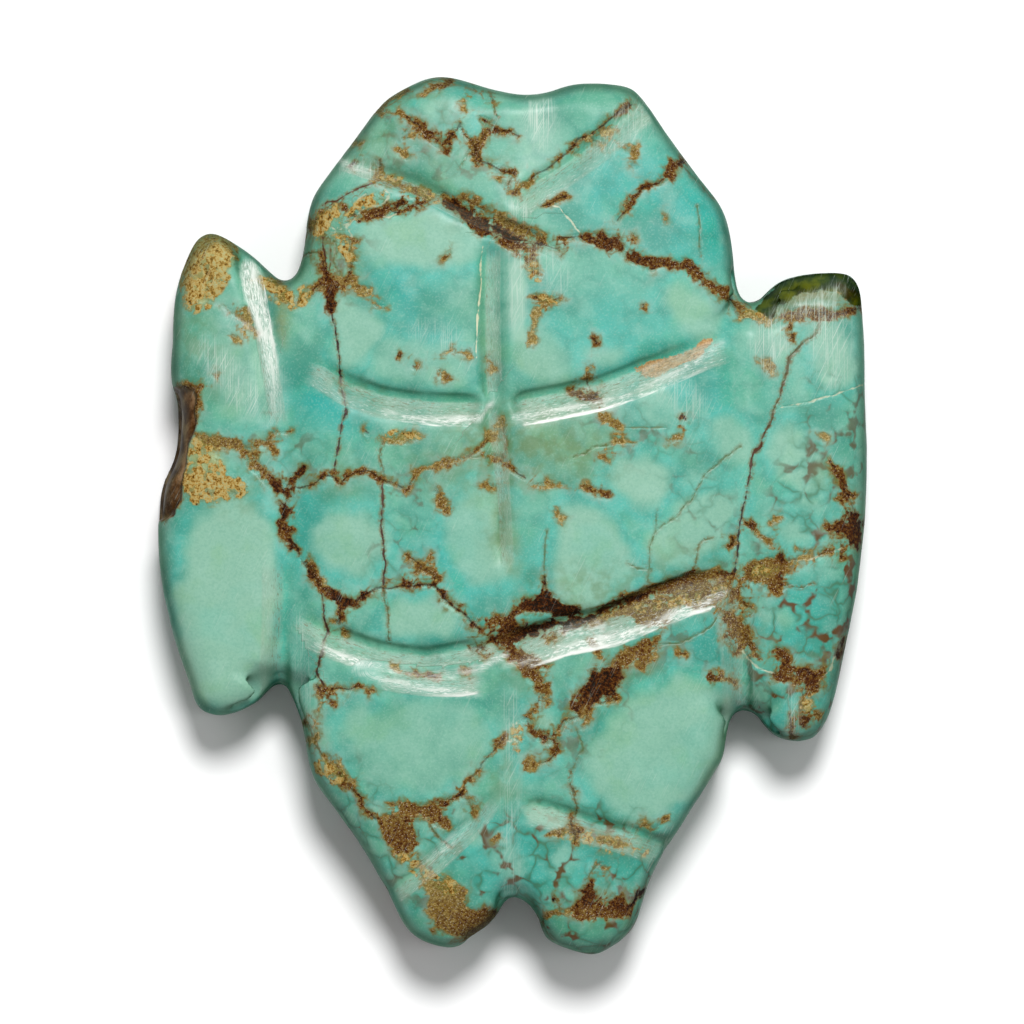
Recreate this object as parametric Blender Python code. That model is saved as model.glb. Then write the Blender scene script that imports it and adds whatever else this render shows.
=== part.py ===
"""A flat turquoise bead carved as a turtle seen from above, lying on its plain underside.

The bead is one stone. It is shaped here as a carver would shape it: a slab with the turtle's outline,
a low crown and rounded edges, then bevels, then slanting grooves for the neck, the shell bands, the
spine, the flippers and the tail, and last a string hole drilled from both ends until the drills meet.

The drawing is held as percentages of the half width and half length, from the bead's middle. Each
depth, width and bore is a real size of its own, in millimetres. +Y points to the head, +Z out of the
carved face, and the origin is under the middle of the bead, on the surface that it lies on.
"""

import math
from collections import namedtuple

import bmesh
import bpy
import numpy as np
from mathutils import Vector
from mathutils.geometry import delaunay_2d_cdt

MM = 0.001

# Overall sizes of the bead, in millimetres
LENGTH = 28.0
WIDTH = 22.6
THICKNESS = 4.6

# How far the crown of the carved face falls to the sides and to the ends
SIDE_FALL = 0.95
END_FALL = 0.75

# The rounding of the upper edge, measured inwards and downwards, and that of the lower edge
EDGE_ROUND = 0.95
EDGE_DROP = 1.15
LOWER_ROUND = 0.3

# The string hole, wide where each drill went in and narrow where the two met
HEAD_MOUTH = 1.7
TAIL_MOUTH = 1.2
DRILL_TIP = 1.0

# The fineness of the facets
EDGE_STEP = 0.5
FACE_STEP = 1.15
GROOVE_STEP = 0.7
LEAST_STEP = 0.12
EDGE_RINGS = 4
HOLE_SIDES = 20
HOLLOW_SIDES = 48

# How far a blade is lifted off the stone where its groove ends, and how far every cutter stands above it
BLADE_LIFT = 0.1
CUTTER_RISE = 0.3

# The outline, anticlockwise from the head's right shoulder, in percent of half width and half length
HEAD = [
    (53, 76.5), (43, 87.5), (36.5, 95.3), (33.5, 97.3), (17, 98.2), (10, 96.4), (3, 95.8), (-5, 96.9),
    (-21, 100), (-32, 96.4), (-36.5, 94), (-44, 86), (-52.5, 77), (-56.2, 72.4), (-58, 66.7), (-59.2, 59),
]
LEFT_NECK_NOTCH = [(-61.2, 54.4), (-63.8, 53)]
LEFT_FLIPPERS = [
    (-75, 60.3), (-85.5, 64.6), (-88.8, 63), (-94.5, 52), (-95.8, 41), (-96.2, 30.5), (-94.6, 25.6),
    (-95.5, 13), (-98.8, 7.4), (-100, -3), (-99.3, -13.3), (-96.5, -24.5), (-91.4, -37.3), (-88, -44.2),
    (-81.2, -45.6), (-71.7, -42.5),
]
LEFT_WAIST_NOTCH = [(-68.3, -39.4), (-65.2, -37.8)]
LEFT_TAIL = [
    (-60.2, -45), (-56.2, -59.6), (-50.5, -66.2), (-42.5, -75.4), (-34.5, -86.6), (-30.2, -93.4),
    (-26.5, -96.2), (-15.6, -98.4), (-11.6, -95.8),
]
TAIL_NOTCH = [(-7, -93.5), (-3.7, -90.2), (-1.5, -87), (0.8, -86.5), (4.1, -87.9), (7.2, -91.4)]
RIGHT_TAIL = [
    (9.2, -96), (18, -99.2), (23.6, -100), (27.5, -98.4), (34, -94.2), (38.2, -84.3), (41, -79),
    (48.4, -69.6), (56.6, -59), (59.5, -55),
]
RIGHT_WAIST_NOTCH = [(60.6, -49.2), (62.5, -45.2), (65.6, -43.7), (68.7, -45.2)]
RIGHT_FLIPPERS = [
    (71.8, -48.7), (76, -51), (84.4, -51), (88, -47.5), (90.2, -43.2), (94, -29.4), (97.4, -15.8),
    (99.4, -1), (100, 11.5), (99.5, 28.6), (98.8, 46.3), (97.6, 52.6), (95.3, 54.8), (81, 54.8), (74.6, 53),
]
RIGHT_NECK_NOTCH = [(67.1, 47.8), (64.4, 49.5), (62.9, 53.6), (61.8, 62.2), (59.4, 69.5)]
OUTLINE = (
    HEAD + LEFT_NECK_NOTCH + LEFT_FLIPPERS + LEFT_WAIST_NOTCH + LEFT_TAIL
    + TAIL_NOTCH + RIGHT_TAIL + RIGHT_WAIST_NOTCH + RIGHT_FLIPPERS + RIGHT_NECK_NOTCH
)

# A blade's depth, and the width of its steep side and of its slanting side at that depth
Blade = namedtuple("Blade", "depth steep slant")
UPPER_LEFT_BLADE = Blade(depth=0.42, steep=0.32, slant=0.78)
UPPER_RIGHT_BLADE = Blade(depth=0.42, steep=0.32, slant=0.86)
LOWER_LEFT_BLADE = Blade(depth=0.42, steep=0.3, slant=0.82)
LOWER_RIGHT_BLADE = Blade(depth=0.46, steep=0.3, slant=1.05)
SECOND_CUT_BLADE = Blade(depth=0.16, steep=0.2, slant=0.65)
NECK_LEFT_BLADE = Blade(depth=0.28, steep=0.3, slant=0.32)
NECK_RIGHT_BLADE = Blade(depth=0.28, steep=0.24, slant=0.55)
SPINE_BLADE = Blade(depth=0.36, steep=0.38, slant=0.48)
FAINT_BLADE = Blade(depth=0.12, steep=0.22, slant=0.24)
FLIPPER_BLADE = Blade(depth=0.4, steep=0.34, slant=0.42)
VALLEY_BLADE = Blade(depth=0.26, steep=0.7, slant=0.9)
WAIST_BLADE = Blade(depth=0.55, steep=0.3, slant=0.8)
TAIL_BLADE = Blade(depth=0.2, steep=0.18, slant=0.26)
RUMP_BLADE = Blade(depth=0.3, steep=0.14, slant=0.75)

# A groove's blade, its bottom line in percent, and the distances over which it sinks in and rises out.
# The steep side is on the left of the line. A groove that runs off the stone there has a distance of 0.
Groove = namedtuple("Groove", "blade line sink rise")
GROOVES = {
    "neck_groove_left": Groove(
        NECK_LEFT_BLADE, [(-50, 80.8), (-36.7, 77.6), (-26.9, 74.9), (-15.6, 70.1), (-8, 67.2), (7, 62.4),
                          (13.5, 60)], 1.4, 1.2
    ),
    "neck_groove_right": Groove(
        NECK_RIGHT_BLADE, [(-1.5, 70), (5.6, 74.9), (14, 79.2), (20.5, 82.9), (28.7, 88.3), (40, 95.6)],
        0.9, 0
    ),
    "upper_band_left": Groove(
        UPPER_LEFT_BLADE, [(-58.5, 35.3), (-52.8, 33.8), (-45.2, 29.9), (-36.4, 27.4), (-21.2, 25.8),
                           (-6.4, 25.8)], 2.2, 0.35
    ),
    "upper_band_right": Groove(
        UPPER_RIGHT_BLADE, [(-1.2, 25.8), (5, 26.7), (23.6, 29.7), (35.1, 33.1), (51.8, 38.6), (61, 40.8)],
        0.35, 2.6
    ),
    "lower_band_left": Groove(
        LOWER_LEFT_BLADE, [(-61.5, -21.5), (-52.5, -26), (-37.8, -30.1), (-23.9, -31.6), (-10.8, -29.6),
                           (-2, -28.3)], 2.2, 1.4
    ),
    "lower_band_left_second": Groove(
        SECOND_CUT_BLADE, [(-39.5, -33.7), (-31.6, -34.6), (-23.2, -35.3), (-14.7, -35.3), (-7, -34.6)],
        1.0, 0.9
    ),
    "lower_band_right": Groove(
        LOWER_RIGHT_BLADE, [(-10.5, -29.2), (-1.9, -28.3), (13.2, -24.3), (26.4, -22.3), (38.4, -18.2),
                            (47.4, -15.3), (62, -12.8)], 1.2, 1.6
    ),
    "flipper_band_right": Groove(
        FAINT_BLADE, [(66, -13.5), (76.6, -11.7), (89.2, -8), (94, -6.9)], 1.5, 1.5
    ),
    "spine_upper": Groove(
        SPINE_BLADE, [(-5.2, 63.5), (-5.4, 49), (-5.2, 35.4), (-4.3, 20.4), (-2.9, 9.5), (-0.9, -9.9),
                      (-0.6, -16)], 0.5, 6.5
    ),
    "spine_lower": Groove(FAINT_BLADE, [(-1, -31), (-0.6, -45), (-1, -60), (-0.4, -75), (0, -90)], 0.8, 0),
    "flipper_groove_left": Groove(
        FLIPPER_BLADE, [(-65.5, 20), (-67.1, 32.6), (-68.8, 44), (-72.2, 53.6), (-75.5, 66)], 3.2, 0
    ),
    "flipper_valley_left": Groove(
        VALLEY_BLADE, [(-62, 47), (-63.5, 20), (-63, -5), (-63, -30), (-65, -46)], 2.0, 0
    ),
    "waist_groove_left": Groove(
        WAIST_BLADE, [(-63, -8), (-64, -22), (-64.6, -30), (-64.8, -38), (-65.2, -46)], 4.0, 0
    ),
    "flipper_crease_left": Groove(
        FAINT_BLADE, [(-85.5, 49.6), (-79.3, 44.7), (-75.6, 42.6), (-69, 40.3)], 1.2, 0.6
    ),
    "flipper_valley_right": Groove(
        VALLEY_BLADE, [(65.5, -50), (64, -30), (64, -5), (66, 20), (67, 55)], 0, 0
    ),
    "waist_groove_right": Groove(WAIST_BLADE, [(63.5, -14), (64.2, -26), (65, -38), (65.6, -50)], 3.0, 0),
    "tail_groove_left": Groove(
        TAIL_BLADE, [(-37, -87), (-29.7, -82.3), (-23.5, -78.7), (-12.5, -70.3), (-5, -62.5)], 0.9, 1.1
    ),
    "tail_groove_right": Groove(
        RUMP_BLADE, [(2.2, -64.8), (10.1, -65.8), (23, -69.4), (33.4, -71.7), (48, -76.2)], 0.5, 0
    ),
}

# A flat bevel on the edge: the line that it starts from, in percent, with the stone falling away on the
# line's right, its slope in degrees and how far out it is ground
Bevel = namedtuple("Bevel", "start end slope reach")
BEVELS = {
    "flipper_end_bevel_right": Bevel((103, 47.2), (69, 48.8), 42, 3.0),
    "broken_edge_bevel_left": Bevel((-87, 28), (-93.5, 1.5), 50, 3.0),
}

# A shallow hollow behind the dip in the head's edge: its middle in percent, its depth and its width
BROW_HOLLOW_AT = (8, 90)
BROW_HOLLOW_DEPTH = 0.2
BROW_HOLLOW_WIDTH = 3.6

# The string hole's two mouths and the place where the drills met, in percent
HOLE_AT_HEAD = (3.5, 96)
HOLE_MEETING = (1.5, 10)
HOLE_AT_TAIL = (0.6, -86.5)

TURQUOISE = (0.13, 0.5, 0.38, 1.0)
STONE_ROUGHNESS = 0.42


def placed(shares):
    """Points of the drawing, from percent to millimetres."""
    return np.array(shares, float) / 100 * [WIDTH / 2, LENGTH / 2]


def curve_point(through, knots, t):
    """The point at t of the centripetal spline through four points, between the middle two."""
    for span in (1, 2):
        through = [
            (a * (knots[i + span] - t) + b * (t - knots[i])) / (knots[i + span] - knots[i])
            for i, (a, b) in enumerate(zip(through, through[1:]))
        ]
    return (through[0] * (knots[2] - t) + through[1] * (t - knots[1])) / (knots[2] - knots[1])


def smooth_line(points, step, closed=False):
    """Points at most a step apart on the smooth curve through the given points."""
    if closed:
        chain = [points[-1], *points, points[0], points[1]]
    else:
        chain = [2 * points[0] - points[1], *points, 2 * points[-1] - points[-2]]
    line = []
    for four in zip(chain, chain[1:], chain[2:], chain[3:]):
        gaps = [math.sqrt(math.dist(a, b)) for a, b in zip(four, four[1:])]
        knots = np.cumsum([0.0, *gaps])
        pieces = math.ceil(math.dist(four[1], four[2]) / step)
        for share in np.arange(pieces) / pieces:
            line.append(curve_point(four, knots, knots[1] + share * gaps[1]))
    if not closed:
        line.append(points[-1])
    return np.array(line)


def stone_outline():
    """The outline's corners, anticlockwise, filling the bead's exact length and width."""
    ring = smooth_line(placed(OUTLINE), EDGE_STEP, closed=True)
    low, high = ring.min(axis=0), ring.max(axis=0)
    return (ring - (low + high) / 2) / (high - low) * [WIDTH, LENGTH]


def inwards_of(points, ring):
    """How far inside the closed ring each point is, to a micrometre, and less than 0 outside it."""
    end = np.roll(ring, -1, axis=0)
    along = end - ring
    reach = points[:, None, :] - ring
    share = np.clip((reach * along).sum(axis=2) / (along**2).sum(axis=1), 0, 1)
    gap = np.linalg.norm(reach - share[..., None] * along, axis=2).min(axis=1)
    level = points[:, None, 1]
    spans = (ring[:, 1] > level) != (end[:, 1] > level)
    turn = along[:, 0] * reach[..., 1] - along[:, 1] * reach[..., 0]
    crossings = (spans & ((turn > 0) == (along[:, 1] > 0))).sum(axis=1)
    return np.where(crossings % 2 == 1, gap, -gap).round(3)


def rounding(inwards, width):
    """The share of a rounded edge's drop that is left at a distance in from the outline."""
    return 1 - np.sqrt(1 - (1 - np.clip(inwards / width, 0, 1)) ** 2)


def upper_height(points, ring):
    """The height of the uncarved upper face, crowned and rounded at its edge."""
    x, y = points[:, 0] / (WIDTH / 2), points[:, 1] / (LENGTH / 2)
    crown = THICKNESS - SIDE_FALL * x**2 - END_FALL * y**2
    return crown - EDGE_DROP * rounding(inwards_of(points, ring), EDGE_ROUND)


def lower_height(points, ring):
    """The height of the flat underside, which turns up at its edge."""
    return LOWER_ROUND * rounding(inwards_of(points, ring), LOWER_ROUND)


def edge_points(ring, width):
    """Points on rings further and further in from the outline, where the edge's rounding turns."""
    along = np.roll(ring, -1, axis=0) - np.roll(ring, 1, axis=0)
    along /= np.linalg.norm(along, axis=1)[:, None]
    inward = np.column_stack([-along[:, 1], along[:, 0]])
    kept = []
    for turn in np.linspace(0, math.pi / 2, EDGE_RINGS + 1)[1:]:
        inset = width * (1 - math.cos(turn))
        points = ring + inset * inward
        kept.append(points[inwards_of(points, ring) > 0.97 * inset])
    return np.vstack(kept)


def inner_points(ring):
    """A triangular grid of points over the crown, inside the rounded edge."""
    rows = np.arange(-LENGTH / 2, LENGTH / 2, FACE_STEP * math.sqrt(0.75))
    columns = np.arange(-WIDTH / 2, WIDTH / 2, FACE_STEP)
    grid = np.array([(x + row % 2 * FACE_STEP / 2, y) for row, y in enumerate(rows) for x in columns])
    return grid[inwards_of(grid, ring) > EDGE_ROUND + FACE_STEP / 2]


def spread_out(points, least):
    """The points, without those that are closer than the least distance to one already taken."""
    taken = points[:1]
    for point in points[1:]:
        if np.linalg.norm(taken - point, axis=1).min() >= least:
            taken = np.vstack([taken, point])
    return taken


def add_points(bm, flat, heights):
    """Mesh points over the flat ones, in metres."""
    return [bm.verts.new((x * MM, y * MM, z * MM)) for (x, y), z in zip(flat, heights)]


def add_face(bm, ring, inner, height_of):
    """One face of the slab: a net of triangles over the outline, lifted to its height."""
    ring_loop = [list(range(len(ring)))]
    corners = [Vector(point) for point in np.vstack([ring, inner])]
    net = delaunay_2d_cdt(corners, [], ring_loop, 1, LEAST_STEP * MM)
    flat = np.array([tuple(corner) for corner in net[0]])
    points = add_points(bm, flat, height_of(flat, ring))
    for triangle in net[2]:
        bm.faces.new([points[i] for i in triangle])


def add_wall(bm, ring):
    """The upright wall between the edges of the two faces."""
    upper = add_points(bm, ring, upper_height(ring, ring))
    lower = add_points(bm, ring, lower_height(ring, ring))
    for i, j in zip(range(len(ring)), [*range(1, len(ring)), 0]):
        bm.faces.new([lower[i], lower[j], upper[j], upper[i]])


def mesh_object(name, bm):
    """An object of its own from a finished bmesh, with its faces pointing outwards."""
    bmesh.ops.recalc_face_normals(bm, faces=bm.faces)
    mesh = bpy.data.meshes.new(name)
    bm.to_mesh(mesh)
    bm.free()
    made = bpy.data.objects.new(name, mesh)
    bpy.context.collection.objects.link(made)
    return made


def make_slab(ring):
    """The stone before carving."""
    bm = bmesh.new()
    upper_inner = np.vstack([edge_points(ring, EDGE_ROUND), inner_points(ring)])
    add_face(bm, ring, spread_out(upper_inner, LEAST_STEP), upper_height)
    add_face(bm, ring, spread_out(edge_points(ring, LOWER_ROUND), LEAST_STEP), lower_height)
    add_wall(bm, ring)
    bmesh.ops.remove_doubles(bm, verts=bm.verts, dist=MM / 1000)
    return mesh_object("turtle_bead", bm)


def loft(name, rings):
    """A closed solid through rings of points, each ring with as many points as the last."""
    bm = bmesh.new()
    loops = [[bm.verts.new(point) for point in ring] for ring in rings]
    for first, second in zip(loops, loops[1:]):
        for i in range(len(first)):
            j = (i + 1) % len(first)
            bm.faces.new([first[i], first[j], second[j], second[i]])
    bm.faces.new(loops[0])
    bm.faces.new(loops[-1])
    return mesh_object(name, bm)


def eased(distance, over):
    """A gentle rise from 0 to 1 over a distance, or 1 at once if the distance is 0."""
    if over == 0:
        return np.ones_like(distance)
    share = np.clip(distance / over, 0, 1)
    return share * share * (3 - 2 * share)


def groove_cutter(name, groove, ring):
    """The blade swept along a groove, sunk into the stone and lifted out of it at its ends."""
    blade = groove.blade
    line = smooth_line(placed(groove.line), GROOVE_STEP)
    travelled = np.cumsum([0.0, *np.linalg.norm(np.diff(line, axis=0), axis=1)])
    sunk = eased(travelled, groove.sink) * eased(travelled[-1] - travelled, groove.rise)
    along = np.gradient(line, axis=0)
    along /= np.linalg.norm(along, axis=1)[:, None]
    left = np.column_stack([-along[:, 1], along[:, 0]])

    surface = upper_height(line, ring)
    bottom = surface - blade.depth * sunk + BLADE_LIFT * (1 - sunk)
    top = surface + BLADE_LIFT + CUTTER_RISE
    tall = (top - bottom)[:, None] / blade.depth
    steep_side = np.column_stack([line + left * blade.steep * tall, top])
    slant_side = np.column_stack([line - left * blade.slant * tall, top])
    deepest = np.column_stack([line, bottom])
    return loft(name, np.stack([steep_side, deepest, slant_side], axis=1) * MM)


def bevel_cutter(name, bevel, ring):
    """A wedge over the bevel's plane, from inside its starting line to past the stone's edge."""
    ends = placed([bevel.start, bevel.end])
    along = (ends[1] - ends[0]) / math.dist(*ends)
    outward = np.array([along[1], -along[0]])
    crown = upper_height(ends.mean(axis=0)[None] - outward * EDGE_ROUND, ring)[0]
    fall = math.tan(math.radians(bevel.slope))
    rise = BLADE_LIFT + CUTTER_RISE
    section = [(-rise / fall, rise), (bevel.reach, -bevel.reach * fall), (bevel.reach, rise)]
    rings = [[(*(end + outward * out), crown + up) for out, up in section] for end in ends]
    return loft(name, np.array(rings) * MM)


def hollow_cutter(name, ring):
    """A large ball that only just sinks into the stone."""
    middle = placed([BROW_HOLLOW_AT])
    radius = (BROW_HOLLOW_WIDTH**2 / 4 + BROW_HOLLOW_DEPTH**2) / (2 * BROW_HOLLOW_DEPTH)
    crown = upper_height(middle, ring)[0]
    bm = bmesh.new()
    bmesh.ops.create_uvsphere(bm, u_segments=HOLLOW_SIDES, v_segments=HOLLOW_SIDES, radius=radius * MM)
    place = Vector((*middle[0], crown - BROW_HOLLOW_DEPTH + radius)) * MM
    bmesh.ops.translate(bm, verts=bm.verts, vec=place)
    return mesh_object(name, bm)


def hole_cutter(name):
    """The string hole: two drills, half way up the stone's rim, that meet inside it."""
    height = (THICKNESS - END_FALL - EDGE_DROP) / 2
    head, meeting, tail = placed([HOLE_AT_HEAD, HOLE_MEETING, HOLE_AT_TAIL])
    past = np.array([0, LENGTH - abs(tail[1])])
    stations = [
        (head + past, HEAD_MOUTH), (head, HEAD_MOUTH), (meeting, DRILL_TIP),
        (tail, TAIL_MOUTH), (tail - past, TAIL_MOUTH),
    ]
    turns = np.linspace(0, 2 * math.pi, HOLE_SIDES, endpoint=False)
    rings = [
        [(x + bore / 2 * math.cos(turn), y, height + bore / 2 * math.sin(turn)) for turn in turns]
        for (x, y), bore in stations
    ]
    return loft(name, np.array(rings) * MM)


def cut(stone, cutter):
    """Takes the cutter's shape out of the stone, and keeps the cutter as a wire guide."""
    cutter.hide_render = True
    cutter.display_type = "WIRE"
    cutter.parent = stone
    modifier = stone.modifiers.new(cutter.name, "BOOLEAN")
    modifier.operation = "DIFFERENCE"
    modifier.solver = "EXACT"
    modifier.object = cutter


def turquoise():
    """The stone's plain material."""
    material = bpy.data.materials.new("turquoise")
    material.use_nodes = True
    shader = material.node_tree.nodes["Principled BSDF"]
    shader.inputs["Base Color"].default_value = TURQUOISE
    shader.inputs["Roughness"].default_value = STONE_ROUGHNESS
    return material


def main():
    for old in list(bpy.data.objects):
        bpy.data.objects.remove(old)
    ring = stone_outline()
    stone = make_slab(ring)
    for name, bevel in BEVELS.items():
        cut(stone, bevel_cutter(name, bevel, ring))
    cut(stone, hollow_cutter("brow_hollow", ring))
    for name, groove in GROOVES.items():
        cut(stone, groove_cutter(name, groove, ring))
    cut(stone, hole_cutter("string_hole"))
    stone.data.materials.append(turquoise())
    stone.data.shade_smooth()
    stone.data.set_sharp_from_angle(angle=math.radians(30))


main()
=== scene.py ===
# %% [markdown]
# # A carved turquoise turtle bead
#
# The bead is one flat stone, cut as a turtle seen from above: a head, four flippers, shell bands, a
# spine and a split tail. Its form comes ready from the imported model. What is missing is everything that
# makes it a real stone: worn edges, pale nodules in blue stone, brown matrix, cracks and saw marks.
# This lesson adds them to a finer copy of the same form.

from collections import namedtuple

import bpy
import numpy as np
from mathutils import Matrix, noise


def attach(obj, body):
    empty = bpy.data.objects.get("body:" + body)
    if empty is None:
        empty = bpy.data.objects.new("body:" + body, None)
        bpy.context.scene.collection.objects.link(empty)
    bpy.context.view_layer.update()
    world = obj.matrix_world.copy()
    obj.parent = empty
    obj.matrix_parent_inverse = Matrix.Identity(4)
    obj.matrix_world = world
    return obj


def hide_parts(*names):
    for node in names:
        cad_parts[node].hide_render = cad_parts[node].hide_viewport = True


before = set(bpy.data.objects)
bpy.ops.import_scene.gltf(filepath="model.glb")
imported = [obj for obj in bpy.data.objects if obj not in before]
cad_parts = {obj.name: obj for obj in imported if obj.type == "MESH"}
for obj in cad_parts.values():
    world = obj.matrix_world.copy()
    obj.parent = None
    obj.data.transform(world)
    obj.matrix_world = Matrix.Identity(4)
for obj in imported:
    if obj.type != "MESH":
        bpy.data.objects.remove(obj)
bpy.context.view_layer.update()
cad_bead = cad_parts["turtle_bead"]
print("the packed bead has", len(cad_bead.data.polygons), "facets")

# %% [markdown]
# ## A finer stone
#
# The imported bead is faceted, and its facets are too large to carry wear or a vein. A sculptor would
# start from an even skin of small faces. The Remesh modifier grows one over any closed form, so a copy
# of the bead has its loose facets merged and is then covered with faces a ninth of a millimetre wide.

# %% Copy the bead and give it an even skin
MM = 0.001
SKIN = 0.118

bpy.ops.object.select_all(action="DESELECT")
cad_bead.select_set(True)
bpy.context.view_layer.objects.active = cad_bead
bpy.ops.object.duplicate()
stone = bpy.context.active_object
stone.name = stone.data.name = "carved_stone"
stone.parent = None
for key in list(stone.keys()):
    del stone[key]
stone.data.materials.clear()

bpy.ops.object.mode_set(mode="EDIT")
bpy.ops.mesh.select_all(action="SELECT")
bpy.ops.mesh.remove_doubles(threshold=1e-6)
bpy.ops.object.mode_set(mode="OBJECT")
skin = stone.modifiers.new("even skin", "REMESH")
skin.mode = "VOXEL"
skin.voxel_size = SKIN * MM
bpy.ops.object.modifier_apply(modifier=skin.name)
print("the fine stone has", len(stone.data.vertices), "points")

# %% [markdown]
# ## The drawing's coordinates
#
# Every mark on this stone was placed over its photograph, so the marks are held as places in the
# picture, in pixels. One pixel covers 0.032 mm of stone. Here each point of the skin is told where
# it is in that drawing. Below the rounded edge the drawing is moved sideways the deeper a point lies,
# as a vein in rock dips, so the walls and the underside get their own pattern that still joins up.

# %% Places in the drawing
PIXEL = 0.03183
MIDDLE = np.array([512.3, 515.65])
CROWN, SIDE_FALL, END_FALL = 4.6, 0.95, 0.75
EDGE_DEPTH = 1.3


def points_of(piece):
    """The piece's points, in millimetres."""
    flat = np.empty(len(piece.data.vertices) * 3)
    piece.data.vertices.foreach_get("co", flat)
    return flat.reshape(-1, 3) / MM


def sway(places, size, reach, layer):
    """A smooth random shift of each place, like the wander of a hand."""
    shifts = [noise.noise_vector((x / size, y / size, layer))[:2] for x, y in places]
    return reach * np.array(shifts)


def wave(points, size, layer):
    """A smooth random number from -1 to 1 for each point."""
    return np.array([noise.noise((x / size, y / size, z / size + layer)) for x, y, z in points])


def drawn(points):
    """Where each point is in the drawing."""
    x, y, z = points.T
    crown = CROWN - SIDE_FALL * (x / 11.3) ** 2 - END_FALL * (y / 14) ** 2
    deep = np.maximum(crown - EDGE_DEPTH - z, 0)[:, None] / PIXEL
    flat = MIDDLE + np.column_stack([x, -y]) / PIXEL
    return flat + deep * ([0.5, -0.35] + sway(flat, 260, 0.9, 3.0))


def eased(value, start, end):
    """A soft step from 0 at the start to 1 at the end."""
    share = np.clip((value - start) / (end - start), 0, 1)
    return share * share * (3 - 2 * share)


# %% [markdown]
# ## Strokes
#
# A vein, a crack, a stain and a saw cut are all strokes in the drawing: a route, how wide it is and
# how it is coloured along the way. One helper answers for every point of the stone which stroke is
# nearest. It keeps the way to that stroke as well as the distance, because the way changes evenly
# from one side of a line to the other, and that is what lets a line thinner than the skin's faces
# stay sharp when a material reads it.

# %% The stroke helper
Stroke = namedtuple("Stroke", "widths tones route")
Nearest = namedtuple("Nearest", "way gap width tone along side length")
FAR = 99.0
REACH = 60


def spread(values, share):
    """A number, or numbers spread evenly along a stroke, at each share of its length."""
    values = np.atleast_1d(np.array(values, float))
    return np.interp(share, np.linspace(0, 1, len(values)), values)


def nearest(places, strokes):
    """The nearest stroke to each place, judged from the stroke's edge."""
    count = len(places)
    edge, way = np.full(count, FAR), np.full((count, 2), FAR)
    kept = {name: np.zeros(count) for name in ("width", "tone", "along", "side", "length")}
    for stroke in strokes:
        route = np.array(stroke.route, float)
        steps = np.linalg.norm(np.diff(route, axis=0), axis=1)
        start = np.cumsum([0.0, *steps])
        margin = REACH + np.max(stroke.widths) / 2
        for i, (a, b) in enumerate(zip(route, route[1:])):
            low, high = np.minimum(a, b) - margin, np.maximum(a, b) + margin
            near = np.nonzero(((places > low) & (places < high)).all(axis=1))[0]
            reach = places[near] - a
            share = np.clip(reach @ (b - a) / steps[i] ** 2, 0, 1)
            to_line = share[:, None] * (b - a) - reach
            travelled = start[i] + share * steps[i]
            width = spread(stroke.widths, travelled / start[-1])
            outside = np.linalg.norm(to_line, axis=1) - width / 2
            won = outside < edge[near]
            here = near[won]
            edge[here], way[here] = outside[won], to_line[won]
            kept["width"][here] = width[won]
            kept["tone"][here] = spread(stroke.tones, travelled / start[-1])[won]
            kept["along"][here] = travelled[won]
            turn = (b - a)[0] * reach[:, 1] - (b - a)[1] * reach[:, 0]
            kept["side"][here] = np.sign(turn[won])
            kept["length"][here] = start[-1]
    gap = np.where(edge < FAR, edge + kept["width"] / 2, FAR)
    return Nearest(way, gap, **kept)


def soft_area(places, strokes, softness):
    """How much each place is inside soft-edged strokes, scaled by their tone."""
    found = nearest(places, strokes)
    return found.tone * (1 - eased(found.gap - found.width / 2, -softness, softness))


def write(name, kind, values):
    """Keeps a value of each point with the stone, where its material can read it."""
    layer = stone.data.attributes.new(name, kind, "POINT")
    field = {"FLOAT": "value", "FLOAT_VECTOR": "vector", "FLOAT_COLOR": "color"}[kind]
    layer.data.foreach_set(field, np.ascontiguousarray(values, np.float32).ravel())


print("strokes are held in pixels of", PIXEL, "mm")

# %% [markdown]
# ## The saw cuts
#
# The carver sawed slanting grooves: one wall short and rounded, the other a long sloping flank.
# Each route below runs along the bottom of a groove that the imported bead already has, with the flank
# on its right hand. The widths are those of the flank, and the tone is how white it has been rubbed.

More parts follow.
